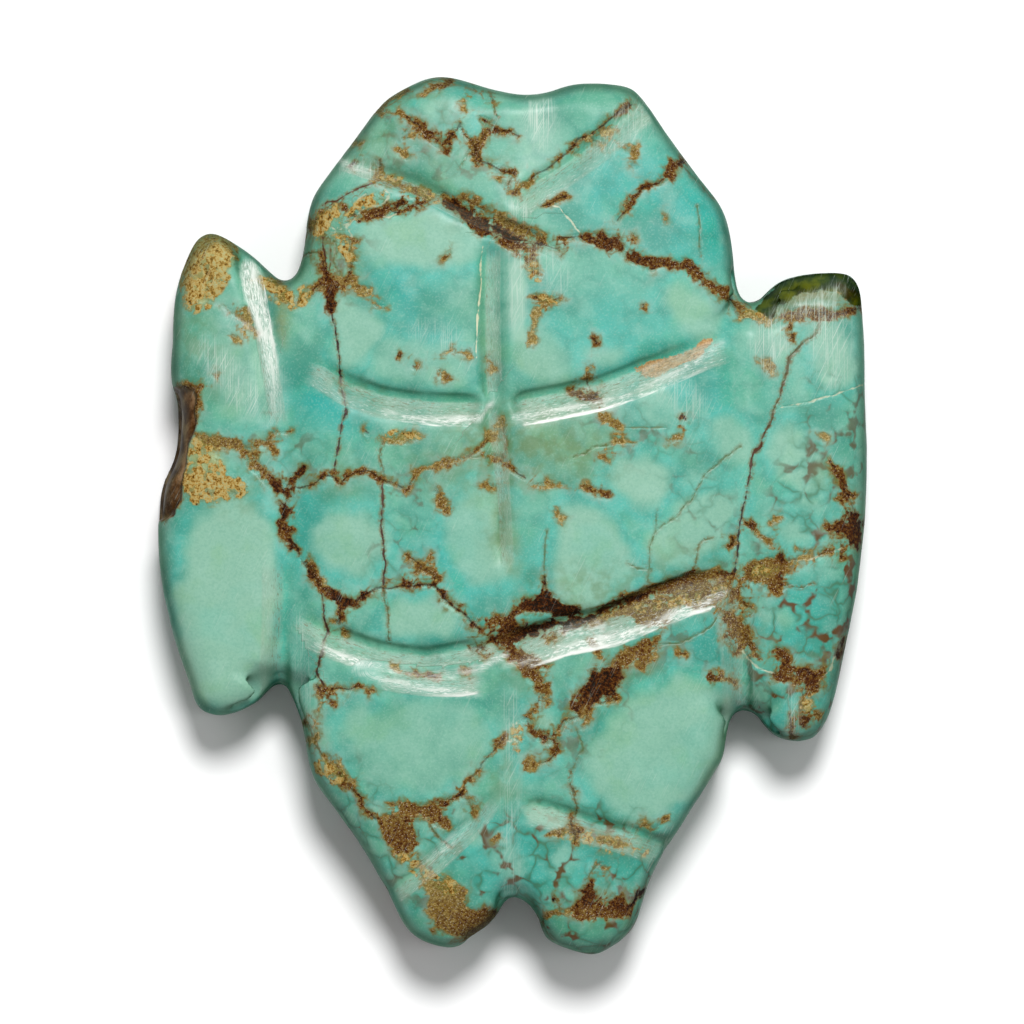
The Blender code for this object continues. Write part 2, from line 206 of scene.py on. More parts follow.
# %% Where the saw cuts run
CUTS = [
    Stroke(24, (0.6, 0.45, 0.5, 0.75, 1, 1), [(306, 361), (325, 367), (352, 384), (383, 395), (437, 402), (489, 402)]),
    Stroke(27, (1, 1, 0.9, 0.8, 0.5), [(508, 402), (530, 398), (596, 385), (637, 370), (696, 346), (727, 336)]),
    Stroke(26, (0.4, 0.5, 0.6, 0.9, 1), [(296, 612), (326, 630), (378, 648), (427, 655), (474, 646), (505, 641)]),
    Stroke(33, (0.8, 1, 1, 1, 0.8), [(508, 641), (559, 623), (606, 614), (649, 596), (681, 583), (732, 572)]),
    Stroke(20, (0.4, 0.7, 1), [(375, 668), (400, 673), (430, 676), (460, 676), (486, 672)]),
    Stroke(10, (0.7, 0.25, 0.15, 0.2), [(337, 160), (382, 174), (417, 186), (457, 207), (484, 220), (537, 241), (560, 251)]),
    Stroke(22, (0.5, 0.35, 0.5), [(507, 208), (532, 186), (562, 167), (585, 151), (614, 127), (652, 96)]),
    Stroke(14, (0.15, 0.25, 0.4, 0.45, 0.4), [(501, 570), (495, 470), (490, 420), (487, 360), (486, 300), (487, 244)]),
    Stroke(18, (0.1, 0.25, 0.6, 1, 1, 0.6), [(272, 430), (264, 385), (257, 345), (250, 305), (244, 275), (242, 252)]),
    Stroke(15, 0.45, [(381, 898), (407, 878), (429, 862), (468, 825), (494, 791)]),
    Stroke(24, (0.25, 0.3), [(520, 801), (548, 805), (594, 821), (631, 831), (683, 851)]),
    Stroke(22, 0.15, [(285, 560), (284, 620), (283, 648), (282, 683), (281, 718)]),
    Stroke(22, 0.15, [(738, 577), (740, 630), (743, 683), (745, 736)]),
]
END_FADE = 16
STEEP_WIDTH = 10

skin_points = points_of(stone)
places = drawn(skin_points)
cut = nearest(places, CUTS)
beyond_ends = np.minimum(cut.along, cut.length - cut.along)
cut_across = np.where(cut.side > 0, cut.gap / cut.width, -cut.gap / STEEP_WIDTH)
cut_depth = eased(beyond_ends, 0, END_FADE) * (1 - eased(np.abs(cut_across), 1.4, 2.4))
cut_strength = cut.tone * cut_depth
print("the saw went", len(CUTS), "ways over the stone")

# %% [markdown]
# ## Wear
#
# Handling rounds a stone everywhere except where a fresh saw flank meets the face. Averaging each
# point with its neighbours, over and over, wears a mesh in just that way. The points along the
# flanks' lower edges are held back after a few rounds, so those edges stay crisp. A few inner corners
# were rubbed more than the rest and get rounds of their own.

# %% Wear the stone
ROUNDS = 9
CRISP_ROUNDS = 2
CRISP_WIDTH = 0.3
CORNERS = [Stroke(16, 1, [(250, 672), (266, 682)]), Stroke(16, 1, [(714, 700), (722, 708)]),
           Stroke(16, 1, [(764, 700), (774, 712)]), Stroke(12, 1, [(724, 302), (731, 310)]),
           Stroke(12, 1, [(774, 299), (782, 304)])]
CORNER_ROUNDS = 40


def worn(points, edges, give, rounds):
    """The points after some rounds of wear, each giving way by its own share."""
    first, second = edges[:, 0], edges[:, 1]
    count = len(points)
    neighbours = np.bincount(first, minlength=count) + np.bincount(second, minlength=count)
    for _ in range(rounds):
        mean = np.empty_like(points)
        for axis in range(3):
            values = points[:, axis]
            mean[:, axis] = np.bincount(first, values[second], count) + np.bincount(second, values[first], count)
        mean /= neighbours[:, None]
        points = points + give[:, None] * (mean - points)
    return points


edges = np.empty(len(stone.data.edges) * 2, int)
stone.data.edges.foreach_get("vertices", edges)
hold = np.exp(-(((cut_across - 1) / CRISP_WIDTH) ** 2)) * eased(cut_strength, 0.1, 0.5)
edges = edges.reshape(-1, 2)
even = np.full(len(skin_points), 0.5)
skin_points = worn(skin_points, edges, even, CRISP_ROUNDS)
skin_points = worn(skin_points, edges, even * (1 - hold), ROUNDS - CRISP_ROUNDS)
skin_points = worn(skin_points, edges, even * soft_area(places, CORNERS, 8), CORNER_ROUNDS)
print("wear took", ROUNDS, "rounds")

# %% [markdown]
# ## Matrix
#
# Turquoise grows in cracks of brown rock, and what is left of the rock runs through the stone as
# matrix. The broad strokes below are matrix, from nearly black brown (tone 0) to ochre (tone 1).
# A short stroke is a speck, and a stroke as wide as it is long is a patch.

# %% Where the matrix runs
MATRIX = [
    # the neck groove on the left: a dark line, maroon below it and olive dirt above it
    Stroke((5, 8, 9, 8), (0.6, 0.5), [(374, 176), (396, 185), (424, 195), (444, 199)]),
    Stroke((5, 10, 10, 7), (0.4, 0.25, 0.35), [(396, 212), (406, 211), (416, 205), (432, 198)]),
    Stroke((5, 7, 7, 6, 5), (0.15, 0.05, 0.1), [(444, 203), (462, 212), (476, 221), (492, 229), (522, 238), (560, 249)]),
    Stroke((9, 14, 12), 0.2, [(464, 217), (478, 226), (493, 234)]),
    Stroke((10, 13, 9), (0.3, 0.35), [(500, 241), (514, 246), (532, 249)]),
    Stroke((8, 13, 7), 0.5, [(462, 200), (474, 205), (486, 212)]),
    Stroke((9, 12, 8), (0.6, 0.5), [(500, 221), (520, 231), (544, 242)]),
    # from the neck to the notch on the right
    Stroke((3, 5, 9, 12, 11), (0.4, 0.25, 0.2), [(560, 236), (572, 238), (586, 240), (602, 240), (616, 244)]),
    Stroke((10, 8, 9, 12, 8, 9), (0.2, 0.3), [(616, 244), (624, 254), (634, 260), (648, 267), (662, 264), (676, 264)]),
    Stroke((8, 9, 11, 10, 9), (0.25, 0.35), [(676, 264), (688, 262), (697, 275), (706, 281), (716, 287)]),
    Stroke((9, 9, 10, 9, 8), (0.3, 0.45, 0.6), [(716, 287), (726, 298), (736, 308), (746, 315), (756, 319)]),
    Stroke((10, 12, 10), 0.75, [(744, 314), (757, 318), (769, 319)]),
    Stroke((8, 12, 14, 12, 7, 6), (0.45, 0.35, 0.3), [(770, 318), (790, 316), (808, 315), (822, 315), (840, 311), (861, 309)]),
    # the head
    Stroke((4, 7, 7, 5), (0.6, 0.55), [(374, 108), (388, 98), (402, 92)]),
    Stroke((4, 6, 5, 7), (0.65, 0.5, 0.35), [(370, 109), (392, 114), (408, 118), (422, 125)]),
    Stroke((5, 9, 9), (0.35, 0.2), [(422, 128), (433, 136), (446, 149)]),
    Stroke((6, 6, 4), 0.3, [(446, 142), (453, 134), (460, 128)]),
    Stroke((2, 3, 4, 5, 3), (0.5, 0.4), [(459, 127), (464, 136), (472, 143), (478, 152), (482, 161)]),
    Stroke((7, 9, 6), 0.25, [(484, 120), (492, 127), (498, 134)]),
    Stroke((4, 5, 3), 0.4, [(500, 134), (508, 134), (516, 139)]),
    Stroke((4, 7, 5), 0.45, [(486, 133), (480, 142), (473, 151)]),
    Stroke((3, 4, 7, 4), 0.35, [(482, 160), (494, 165), (504, 170), (514, 174)]),
    Stroke((4, 6), 0.45, [(470, 150), (478, 164)]),
    Stroke((4, 3), 0.6, [(404, 138), (413, 134)]),
    Stroke((6, 11, 8), (0.5, 0.4), [(424, 93), (434, 86), (447, 82)]),
    Stroke(3, 0.5, [(471, 88), (474, 93)]), Stroke(3, 0.5, [(491, 96), (494, 102)]),
    Stroke(3, 0.6, [(467, 104), (469, 113)]), Stroke(5, 0.75, [(356, 143), (361, 146)]),
    Stroke(3, 0.0, [(352, 165), (354, 166)]), Stroke((3, 4), 0.5, [(374, 162), (379, 170)]),
    Stroke((2, 4), 0.6, [(400, 150), (408, 158)]), Stroke((3, 4, 2), 0.6, [(512, 192), (505, 186), (498, 180)]),
    # dirt along the neck groove on the right
    Stroke((4, 3, 2, 4, 3), (0.35, 0.45), [(635, 102), (613, 119), (588, 137), (562, 157), (540, 174), (516, 194)]),
    Stroke(6, 0.75, [(592, 141), (602, 142)]), Stroke(4, 0.75, [(608, 132), (614, 132)]),
    Stroke(4, 0.8, [(574, 156), (578, 156)]), Stroke(5, 0.6, [(523, 187), (531, 184)]),
    Stroke(7, 0.6, [(625, 149), (631, 151)]), Stroke(3, 0.5, [(631, 166), (634, 168)]),
    # right of the neck
    Stroke((5, 11, 7, 4, 4, 11, 6, 3), (0.3, 0.25, 0.4), [(684, 163), (672, 172), (661, 180), (652, 184), (642, 190), (632, 202), (624, 212), (617, 222)]),
    Stroke((3, 6, 4), 0.4, [(540, 206), (554, 202), (569, 196)]),
    Stroke(3, 0.5, [(664, 217), (667, 221)]), Stroke(3, 0.5, [(633, 237), (636, 240)]),
    Stroke(2, 0.4, [(642, 305), (643, 309)]), Stroke(3, 0.3, [(593, 343), (594, 346)]),
    # left shoulder
    Stroke((6, 9, 8, 9, 6), (0.5, 0.3, 0.25), [(350, 216), (364, 213), (378, 215), (390, 210), (402, 203)]),
    Stroke((3, 5, 3), (0.5, 0.6), [(306, 236), (312, 226), (326, 216)]), Stroke((3, 5, 4), 0.35, [(346, 206), (356, 212), (362, 222)]),
    Stroke((3, 5, 3), 0.5, [(338, 236), (346, 246), (350, 260)]), Stroke((3, 4, 3), 0.45, [(352, 262), (350, 276), (344, 286)]),
    Stroke((4, 7, 5), 0.5, [(312, 222), (322, 214), (336, 206)]),
    Stroke((3.4, 6, 8, 3.4), (0.3, 0.15, 0.2), [(324, 262), (327, 280), (329, 296), (332, 312)]),
    Stroke((4, 7, 5), 0.5, [(298, 299), (309, 296), (322, 288)]),
    Stroke((6, 9, 6), (0.4, 0.3), [(313, 288), (324, 283), (334, 286)]),
    Stroke((4, 6, 4), 0.55, [(336, 280), (346, 283), (355, 278)]),
    Stroke(5, 0.5, [(349, 243), (353, 243)]), Stroke(4, 0.55, [(351, 258), (354, 261)]),
    Stroke((6, 4), 0.45, [(318, 253), (322, 258)]), Stroke((4, 3), 0.6, [(356, 287), (372, 291)]),
    Stroke((3, 2), 0.6, [(376, 306), (385, 308)]), Stroke(4, 0.3, [(398, 355), (401, 357)]),
    Stroke(3, 0.45, [(413, 366), (415, 368)]), Stroke((4, 3), 0.45, [(444, 258), (451, 253)]),
    Stroke((4, 5, 4), 0.65, [(445, 352), (450, 350), (454, 353)]), Stroke(4, 0.65, [(461, 353), (471, 354)]),
    Stroke((4, 5), 0.55, [(441, 372), (446, 380)]), Stroke(4, 0.4, [(366, 430), (369, 433)]),
    Stroke((6, 11, 7), 0.75, [(390, 441), (403, 438), (416, 436)]),
    # right of the spine
    Stroke((7, 9, 5), 0.4, [(525, 258), (531, 266), (537, 275)]),
    Stroke((5, 8, 6), 0.45, [(534, 297), (547, 302), (559, 300)]),
    Stroke((6, 5, 3), 0.7, [(535, 312), (533, 326), (530, 343)]),
    Stroke((5, 6), 0.65, [(489, 360), (494, 370)]), Stroke((7, 8), 0.7, [(499, 421), (495, 437)]),
    Stroke((4, 6, 4), 0.55, [(601, 418), (609, 423), (617, 429)]), Stroke((4, 5, 3), 0.6, [(612, 441), (621, 442), (633, 442)]),
    Stroke((7, 11, 9), (0.35, 0.25), [(572, 395), (585, 399), (599, 394)]),
    Stroke((2.6, 2), (0.4, 0.55), [(586, 388), (588, 376), (592, 366)]),
    Stroke(6, 0.5, [(602, 458), (605, 461)]), Stroke((4, 5), 0.6, [(668, 439), (676, 438)]),
    Stroke(3, 0.1, [(682, 418), (684, 420)]), Stroke((5, 8, 9), (0.5, 0.35), [(583, 486), (594, 492), (604, 494)]),
    Stroke((4, 6, 3), 0.6, [(534, 486), (544, 485), (553, 486)]), Stroke(3, 0.6, [(560, 485), (566, 487)]),
    Stroke((7, 9, 6, 3), (0.5, 0.35), [(491, 457), (502, 464), (514, 471), (527, 477)]),
    Stroke((7, 7), 0.55, [(487, 487), (494, 489)]), Stroke(6, 0.7, [(557, 514), (561, 518)]),
    Stroke((6, 7), 0.65, [(763, 362), (769, 369)]), Stroke(5, 0.8, [(819, 436), (822, 440)]),
    Stroke(3, 0.45, [(790, 323), (791, 330)]), Stroke(3, 0.45, [(791, 336), (791, 342)]),
    Stroke((8, 12), 0.55, [(842, 290), (852, 298)]),
    # the left flipper
    Stroke((7, 9, 6), 0.6, [(268, 284), (278, 292), (288, 298)]), Stroke((5, 6), 0.65, [(244, 308), (250, 321)]),
    Stroke((2, 4, 4), 0.65, [(224, 306), (240, 320), (258, 333)]), Stroke(3, 0.7, [(232, 338), (238, 341)]),
    Stroke(3, 0.5, [(214, 376), (218, 378)]), Stroke((3, 5, 4), 0.45, [(180, 389), (190, 388), (200, 390)]),
    Stroke((6, 8, 6, 5), (0.4, 0.5), [(197, 396), (196, 412), (193, 428), (197, 436)]),
    Stroke((8, 10, 9, 11, 10), (0.6, 0.5, 0.45), [(200, 440), (222, 444), (242, 449), (256, 463), (272, 480)]),
    Stroke((11, 13, 10), (0.2, 0.15), [(272, 480), (280, 488), (288, 492)]),
    Stroke((3, 5, 3), 0.5, [(250, 451), (266, 443), (278, 430), (292, 432)]), Stroke((3, 4), 0.5, [(268, 443), (275, 452)]),
    Stroke((11, 15, 9), (0.3, 0.4), [(176, 480), (170, 500), (164, 516)]),
    # the vein down from it
    Stroke((8, 6, 5), 0.15, [(284, 492), (285, 506), (287, 518)]),
    Stroke((6, 10, 6), 0.25, [(285, 521), (288, 530), (290, 539)]),
    Stroke((3.4, 2.6, 3.4, 3), 0.15, [(290, 539), (299, 552), (309, 570), (317, 584)]),
    Stroke((4, 7, 4), 0.4, [(307, 560), (312, 566), (314, 573)]),
    Stroke((4, 7, 5, 4), (0.4, 0.2), [(314, 580), (322, 587), (330, 590), (338, 593)]),
    Stroke((6, 12, 9), 0.12, [(338, 594), (346, 600), (353, 602)]),
    Stroke((4, 3.4, 3), 0.2, [(354, 600), (366, 594), (379, 587)]),
    Stroke(5, 0.85, [(322, 585), (326, 588)]), Stroke((3, 7, 4), (0.25, 0.4), [(342, 606), (341, 620), (341, 631)]),
    Stroke((6, 8), 0.5, [(337, 622), (346, 634)]), Stroke((5, 9, 7), 0.35, [(316, 684), (324, 694), (331, 702)]),
    Stroke((4, 5, 4), 0.4, [(333, 688), (346, 687), (358, 684)]), Stroke(4, 0.5, [(367, 687), (371, 692)]),
    Stroke((7, 9), 0.0, [(342, 596), (350, 600)]), Stroke((7, 9), 0.12, [(276, 484), (284, 489)]),
    # across the middle
    Stroke((6, 10, 8), (0.2, 0.15), [(290, 485), (297, 477), (304, 470)]),
    Stroke((3, 4, 3, 3, 7, 3, 3), (0.25, 0.35), [(300, 487), (314, 484), (324, 475), (334, 475), (340, 483), (348, 475), (368, 472)]),
    Stroke((2.6, 3, 5, 3, 4, 3), (0.35, 0.5), [(368, 472), (380, 478), (394, 481), (406, 492), (412, 480), (423, 469)]),
    Stroke((3, 4, 3, 4, 3), (0.55, 0.4), [(423, 469), (440, 465), (464, 457), (484, 449), (496, 434)]),
    Stroke((5, 9, 5), 0.5, [(436, 490), (442, 499), (448, 511)]),
    Stroke((3, 7, 3), 0.45, [(409, 556), (423, 568), (438, 580)]), Stroke((2, 3), 0.5, [(414, 577), (432, 558)]),
    Stroke((2.4, 2.4, 3, 3, 6, 3, 7), (0.25, 0.2), [(382, 586), (422, 584), (435, 588), (449, 600), (465, 614), (474, 622), (482, 630)]),
    Stroke(4, 0.7, [(396, 664), (400, 667)]), Stroke(5, 0.5, [(408, 673), (422, 674)]),
    Stroke(4, 0.3, [(431, 674), (436, 674)]), Stroke(4, 0.55, [(464, 669), (468, 670)]),
    # the large mass over the lower band
    Stroke((4, 8, 14, 20), 0.08, [(545, 578), (546, 588), (548, 597), (550, 606)]),
    Stroke((14, 20, 23, 19, 9), (0.12, 0.04, 0.1), [(528, 604), (544, 603), (556, 608), (567, 612), (577, 613)]),
    Stroke((12, 19, 23, 18), (0.35, 0.2, 0.25), [(498, 619), (507, 625), (512, 633), (504, 641)]),
    Stroke((7, 8, 6), 0.25, [(510, 616), (522, 608), (534, 602)]),
    Stroke((6, 7, 8, 7, 6), (0.15, 0.05), [(470, 649), (490, 643), (506, 638), (540, 629), (568, 622)]),
    Stroke((6, 6, 7, 7, 5), (0.1, 0.2), [(568, 622), (590, 617), (624, 604), (660, 589), (700, 580), (731, 574)]),
    Stroke((5, 9, 10, 12, 9), (0.5, 0.35, 0.5), [(630, 599), (650, 591), (672, 585), (692, 579), (714, 576)]),
    Stroke((5, 11, 10), 0.3, [(692, 572), (689, 578), (684, 584)]),
    # granular matrix on the band's flank
    Stroke((8, 22, 25, 14), (0.5, 0.45), [(630, 613), (645, 616), (660, 612), (674, 601)]),
    Stroke((12, 23, 22, 10), (0.5, 0.45), [(682, 601), (698, 599), (712, 592), (728, 583)]),
    Stroke((7, 10, 12, 10), (0.55, 0.45), [(592, 622), (612, 616), (640, 605), (690, 590), (729, 578)]),
    Stroke((4, 7), 0.5, [(549, 640), (558, 633)]), Stroke((5, 4), 0.5, [(590, 640), (598, 656)]),
    Stroke((5, 3), 0.5, [(476, 650), (484, 656)]),
    # below the band
    Stroke((13, 17, 13, 8), (0.3, 0.45), [(510, 646), (517, 654), (528, 661), (546, 665)]),
    Stroke((10, 14, 10, 5), (0.35, 0.45), [(528, 664), (534, 676), (541, 690), (536, 703)]),
    Stroke((3, 6), 0.5, [(541, 690), (548, 702)]), Stroke((3, 7, 5), 0.45, [(520, 718), (526, 716), (530, 723)]),
    Stroke((8, 12, 9), (0.3, 0.25), [(534, 731), (546, 736), (556, 740)]), Stroke((5, 7, 5), 0.35, [(556, 740), (556, 751), (549, 760)]),
    Stroke((4, 5, 3), 0.5, [(549, 760), (538, 764), (526, 762)]), Stroke((4, 5, 5), 0.45, [(557, 731), (565, 720), (574, 715), (588, 712)]),
    Stroke((12, 24, 30, 18), (0.25, 0.1, 0.15), [(578, 706), (590, 694), (602, 682), (612, 670)]),
    Stroke((5, 8, 5), 0.5, [(583, 706), (588, 714), (582, 724)]), Stroke((4, 5), 0.45, [(598, 704), (618, 699)]),
    Stroke((10, 15, 14, 9), (0.45, 0.4), [(612, 666), (626, 656), (640, 652), (656, 640)]),
    Stroke((5, 7, 5), 0.5, [(632, 660), (646, 666), (650, 658)]), Stroke((4, 6), 0.5, [(655, 652), (659, 636)]),
    Stroke((4, 6), 0.45, [(678, 651), (683, 653)]), Stroke((6, 5), 0.3, [(709, 676), (715, 679)]),
    Stroke(4, 0.5, [(721, 676), (725, 680)]), Stroke((3, 4), 0.5, [(731, 682), (736, 685)]),
    # where the flipper meets the band
    Stroke((4, 6, 5), 0.4, [(732, 536), (734, 542), (730, 547)]), Stroke((8, 12, 11), (0.45, 0.4), [(736, 578), (738, 588), (734, 598)]),
    Stroke((7, 10, 8), 0.45, [(733, 598), (732, 610), (730, 618)]), Stroke((12, 20, 20, 12), (0.4, 0.5), [(728, 616), (735, 624), (740, 632), (742, 642)]),
    Stroke((6, 9, 6), 0.4, [(728, 636), (732, 646), (736, 654)]), Stroke((7, 10, 7), 0.4, [(746, 642), (752, 648), (756, 656)]),
    Stroke((10, 24, 26, 16), (0.4, 0.55, 0.45), [(742, 577), (755, 572), (768, 570), (782, 568)]),
    Stroke((9, 15, 9), (0.15, 0.1), [(779, 556), (780, 567), (778, 576)]), Stroke((8, 13, 8), 0.4, [(766, 587), (775, 588), (782, 584)]),
    Stroke((7, 5), 0.45, [(738, 600), (750, 607)]),
    # the right flipper
    Stroke((4, 6, 4), 0.45, [(817, 558), (826, 554), (834, 551)]), Stroke((5, 9, 6), 0.35, [(838, 543), (844, 548), (843, 557)]),
    Stroke((7, 12, 16, 12), (0.3, 0.12), [(824, 526), (838, 527), (852, 528), (861, 524)]), Stroke((8, 14, 8), 0.12, [(854, 516), (856, 530), (852, 545)]),
    Stroke((3, 8, 9, 6), (0.4, 0.2), [(829, 463), (835, 470), (837, 478), (845, 484)]), Stroke((5, 8, 6), 0.25, [(840, 482), (844, 489), (849, 494)]),
    Stroke(7, 0.35, [(839, 500), (842, 502)]), Stroke((4, 5), 0.4, [(846, 492), (853, 496)]),
    Stroke((4, 5, 3), 0.6, [(769, 521), (775, 517), (781, 515)]), Stroke(6, 0.3, [(751, 525), (754, 528)]),
    Stroke((4, 6, 4), 0.5, [(761, 534), (766, 539), (769, 545)]), Stroke(3, 0.4, [(746, 522), (748, 524)]),
    Stroke((5, 7, 7), 0.7, [(796, 548), (804, 552), (800, 558)]),
    Stroke((6, 10, 12, 8), (0.3, 0.35), [(770, 673), (780, 676), (790, 677), (799, 680)]), Stroke((7, 14, 10), 0.3, [(776, 650), (782, 656), (783, 668)]),
    Stroke((9, 20, 22, 12), (0.3, 0.2, 0.4), [(798, 672), (808, 674), (814, 682), (820, 676)]), Stroke((5, 9, 5), 0.35, [(813, 668), (820, 669), (824, 676)]),
    Stroke((5, 9, 8), 0.95, [(805, 700), (808, 704), (811, 700)]), Stroke((5, 7), 0.55, [(804, 694), (801, 706)]),
    Stroke((6, 11, 7), (0.3, 0.25), [(803, 718), (807, 723), (806, 729)]), Stroke((4, 6), 0.5, [(812, 712), (818, 716)]),
    Stroke((3, 6), 0.4, [(787, 715), (794, 736)]), Stroke((5, 8), (0.15, 0.1), [(846, 640), (838, 655)]),
    # the lower left
    Stroke((6, 9, 7), 0.6, [(324, 757), (332, 764), (337, 772)]), Stroke((6, 7, 6, 8), (0.4, 0.3), [(338, 775), (350, 786), (361, 798), (364, 808)]),
    Stroke((8, 9, 5), (0.35, 0.3), [(361, 802), (366, 811), (374, 818)]), Stroke((5, 3), 0.6, [(350, 782), (358, 780)]),
    Stroke((6, 10, 9, 9, 6), (0.5, 0.35, 0.3), [(390, 803), (410, 808), (432, 806), (448, 799), (461, 793)]),
    Stroke((11, 16, 10), 0.4, [(428, 812), (438, 816), (446, 822)]), Stroke((2, 2), 0.5, [(461, 793), (470, 800), (478, 812)]),
    Stroke((3, 2, 3, 2), 0.45, [(461, 793), (463, 785), (474, 777), (482, 769), (489, 753), (498, 742), (506, 737)]),
    Stroke((10, 18, 24, 22, 10), (0.5, 0.35, 0.4), [(388, 816), (393, 824), (400, 832), (406, 842), (400, 852)]),
    Stroke((4, 6, 4), 0.7, [(305, 742), (312, 742), (316, 736)]), Stroke((3, 6, 5), 0.6, [(318, 697), (322, 704), (319, 712)]),
    Stroke(4, 0.5, [(303, 722), (306, 724)]), Stroke((4, 6, 4), 0.65, [(418, 856), (424, 866), (420, 876)]),
    # the tail
    Stroke((14, 26, 30, 22), (0.65, 0.5), [(434, 884), (444, 888), (452, 900), (462, 912)]),
    Stroke((20, 34, 36, 24), (0.55, 0.45, 0.4), [(438, 904), (450, 918), (468, 924), (486, 920)]),
    Stroke((8, 14, 8), (0.4, 0.25), [(470, 926), (484, 924), (496, 914)]), Stroke(5, 0.0, [(468, 906), (472, 908)]),
    Stroke((6, 14, 18, 14), (0.25, 0.15, 0.3), [(592, 882), (588, 892), (584, 902), (578, 908)]), Stroke((8, 16, 16), (0.3, 0.4), [(598, 904), (592, 910), (580, 908)]),
    Stroke((10, 20, 18, 9), (0.3, 0.2, 0.4), [(606, 910), (618, 902), (622, 908), (610, 916)]), Stroke((3, 6, 8), (0.5, 0.55), [(540, 920), (556, 913), (576, 907)]),
    Stroke(4, 0.05, [(550, 897), (552, 899)]), Stroke((4, 6, 5), (0.1, 0.05), [(628, 908), (640, 897), (649, 886)]),
    Stroke((3, 5, 2), 0.45, [(569, 786), (572, 789), (575, 794)]), Stroke((4, 7, 4), 0.4, [(572, 818), (573, 828), (572, 840)]),
    Stroke((4, 7, 6), (0.55, 0.4), [(550, 834), (564, 832), (578, 830)]), Stroke((3, 4, 5), 0.6, [(636, 829), (646, 824), (654, 828), (664, 822)]),
    Stroke((4, 5, 3), 0.6, [(598, 838), (612, 842), (626, 844)]), Stroke((3, 4), 0.6, [(528, 762), (536, 766)]),
    Stroke((3, 4), 0.5, [(596, 862), (601, 868)]), Stroke(3, 0.5, [(497, 836), (500, 836)]),
]
print("matrix strokes:", len(MATRIX))

# %% [markdown]
# ## Cracks
#
# Thin cracks filled with the same brown stuff run between the veins. They are a pixel or two wide,
# so they are a family of their own and are drawn over everything but the matrix.

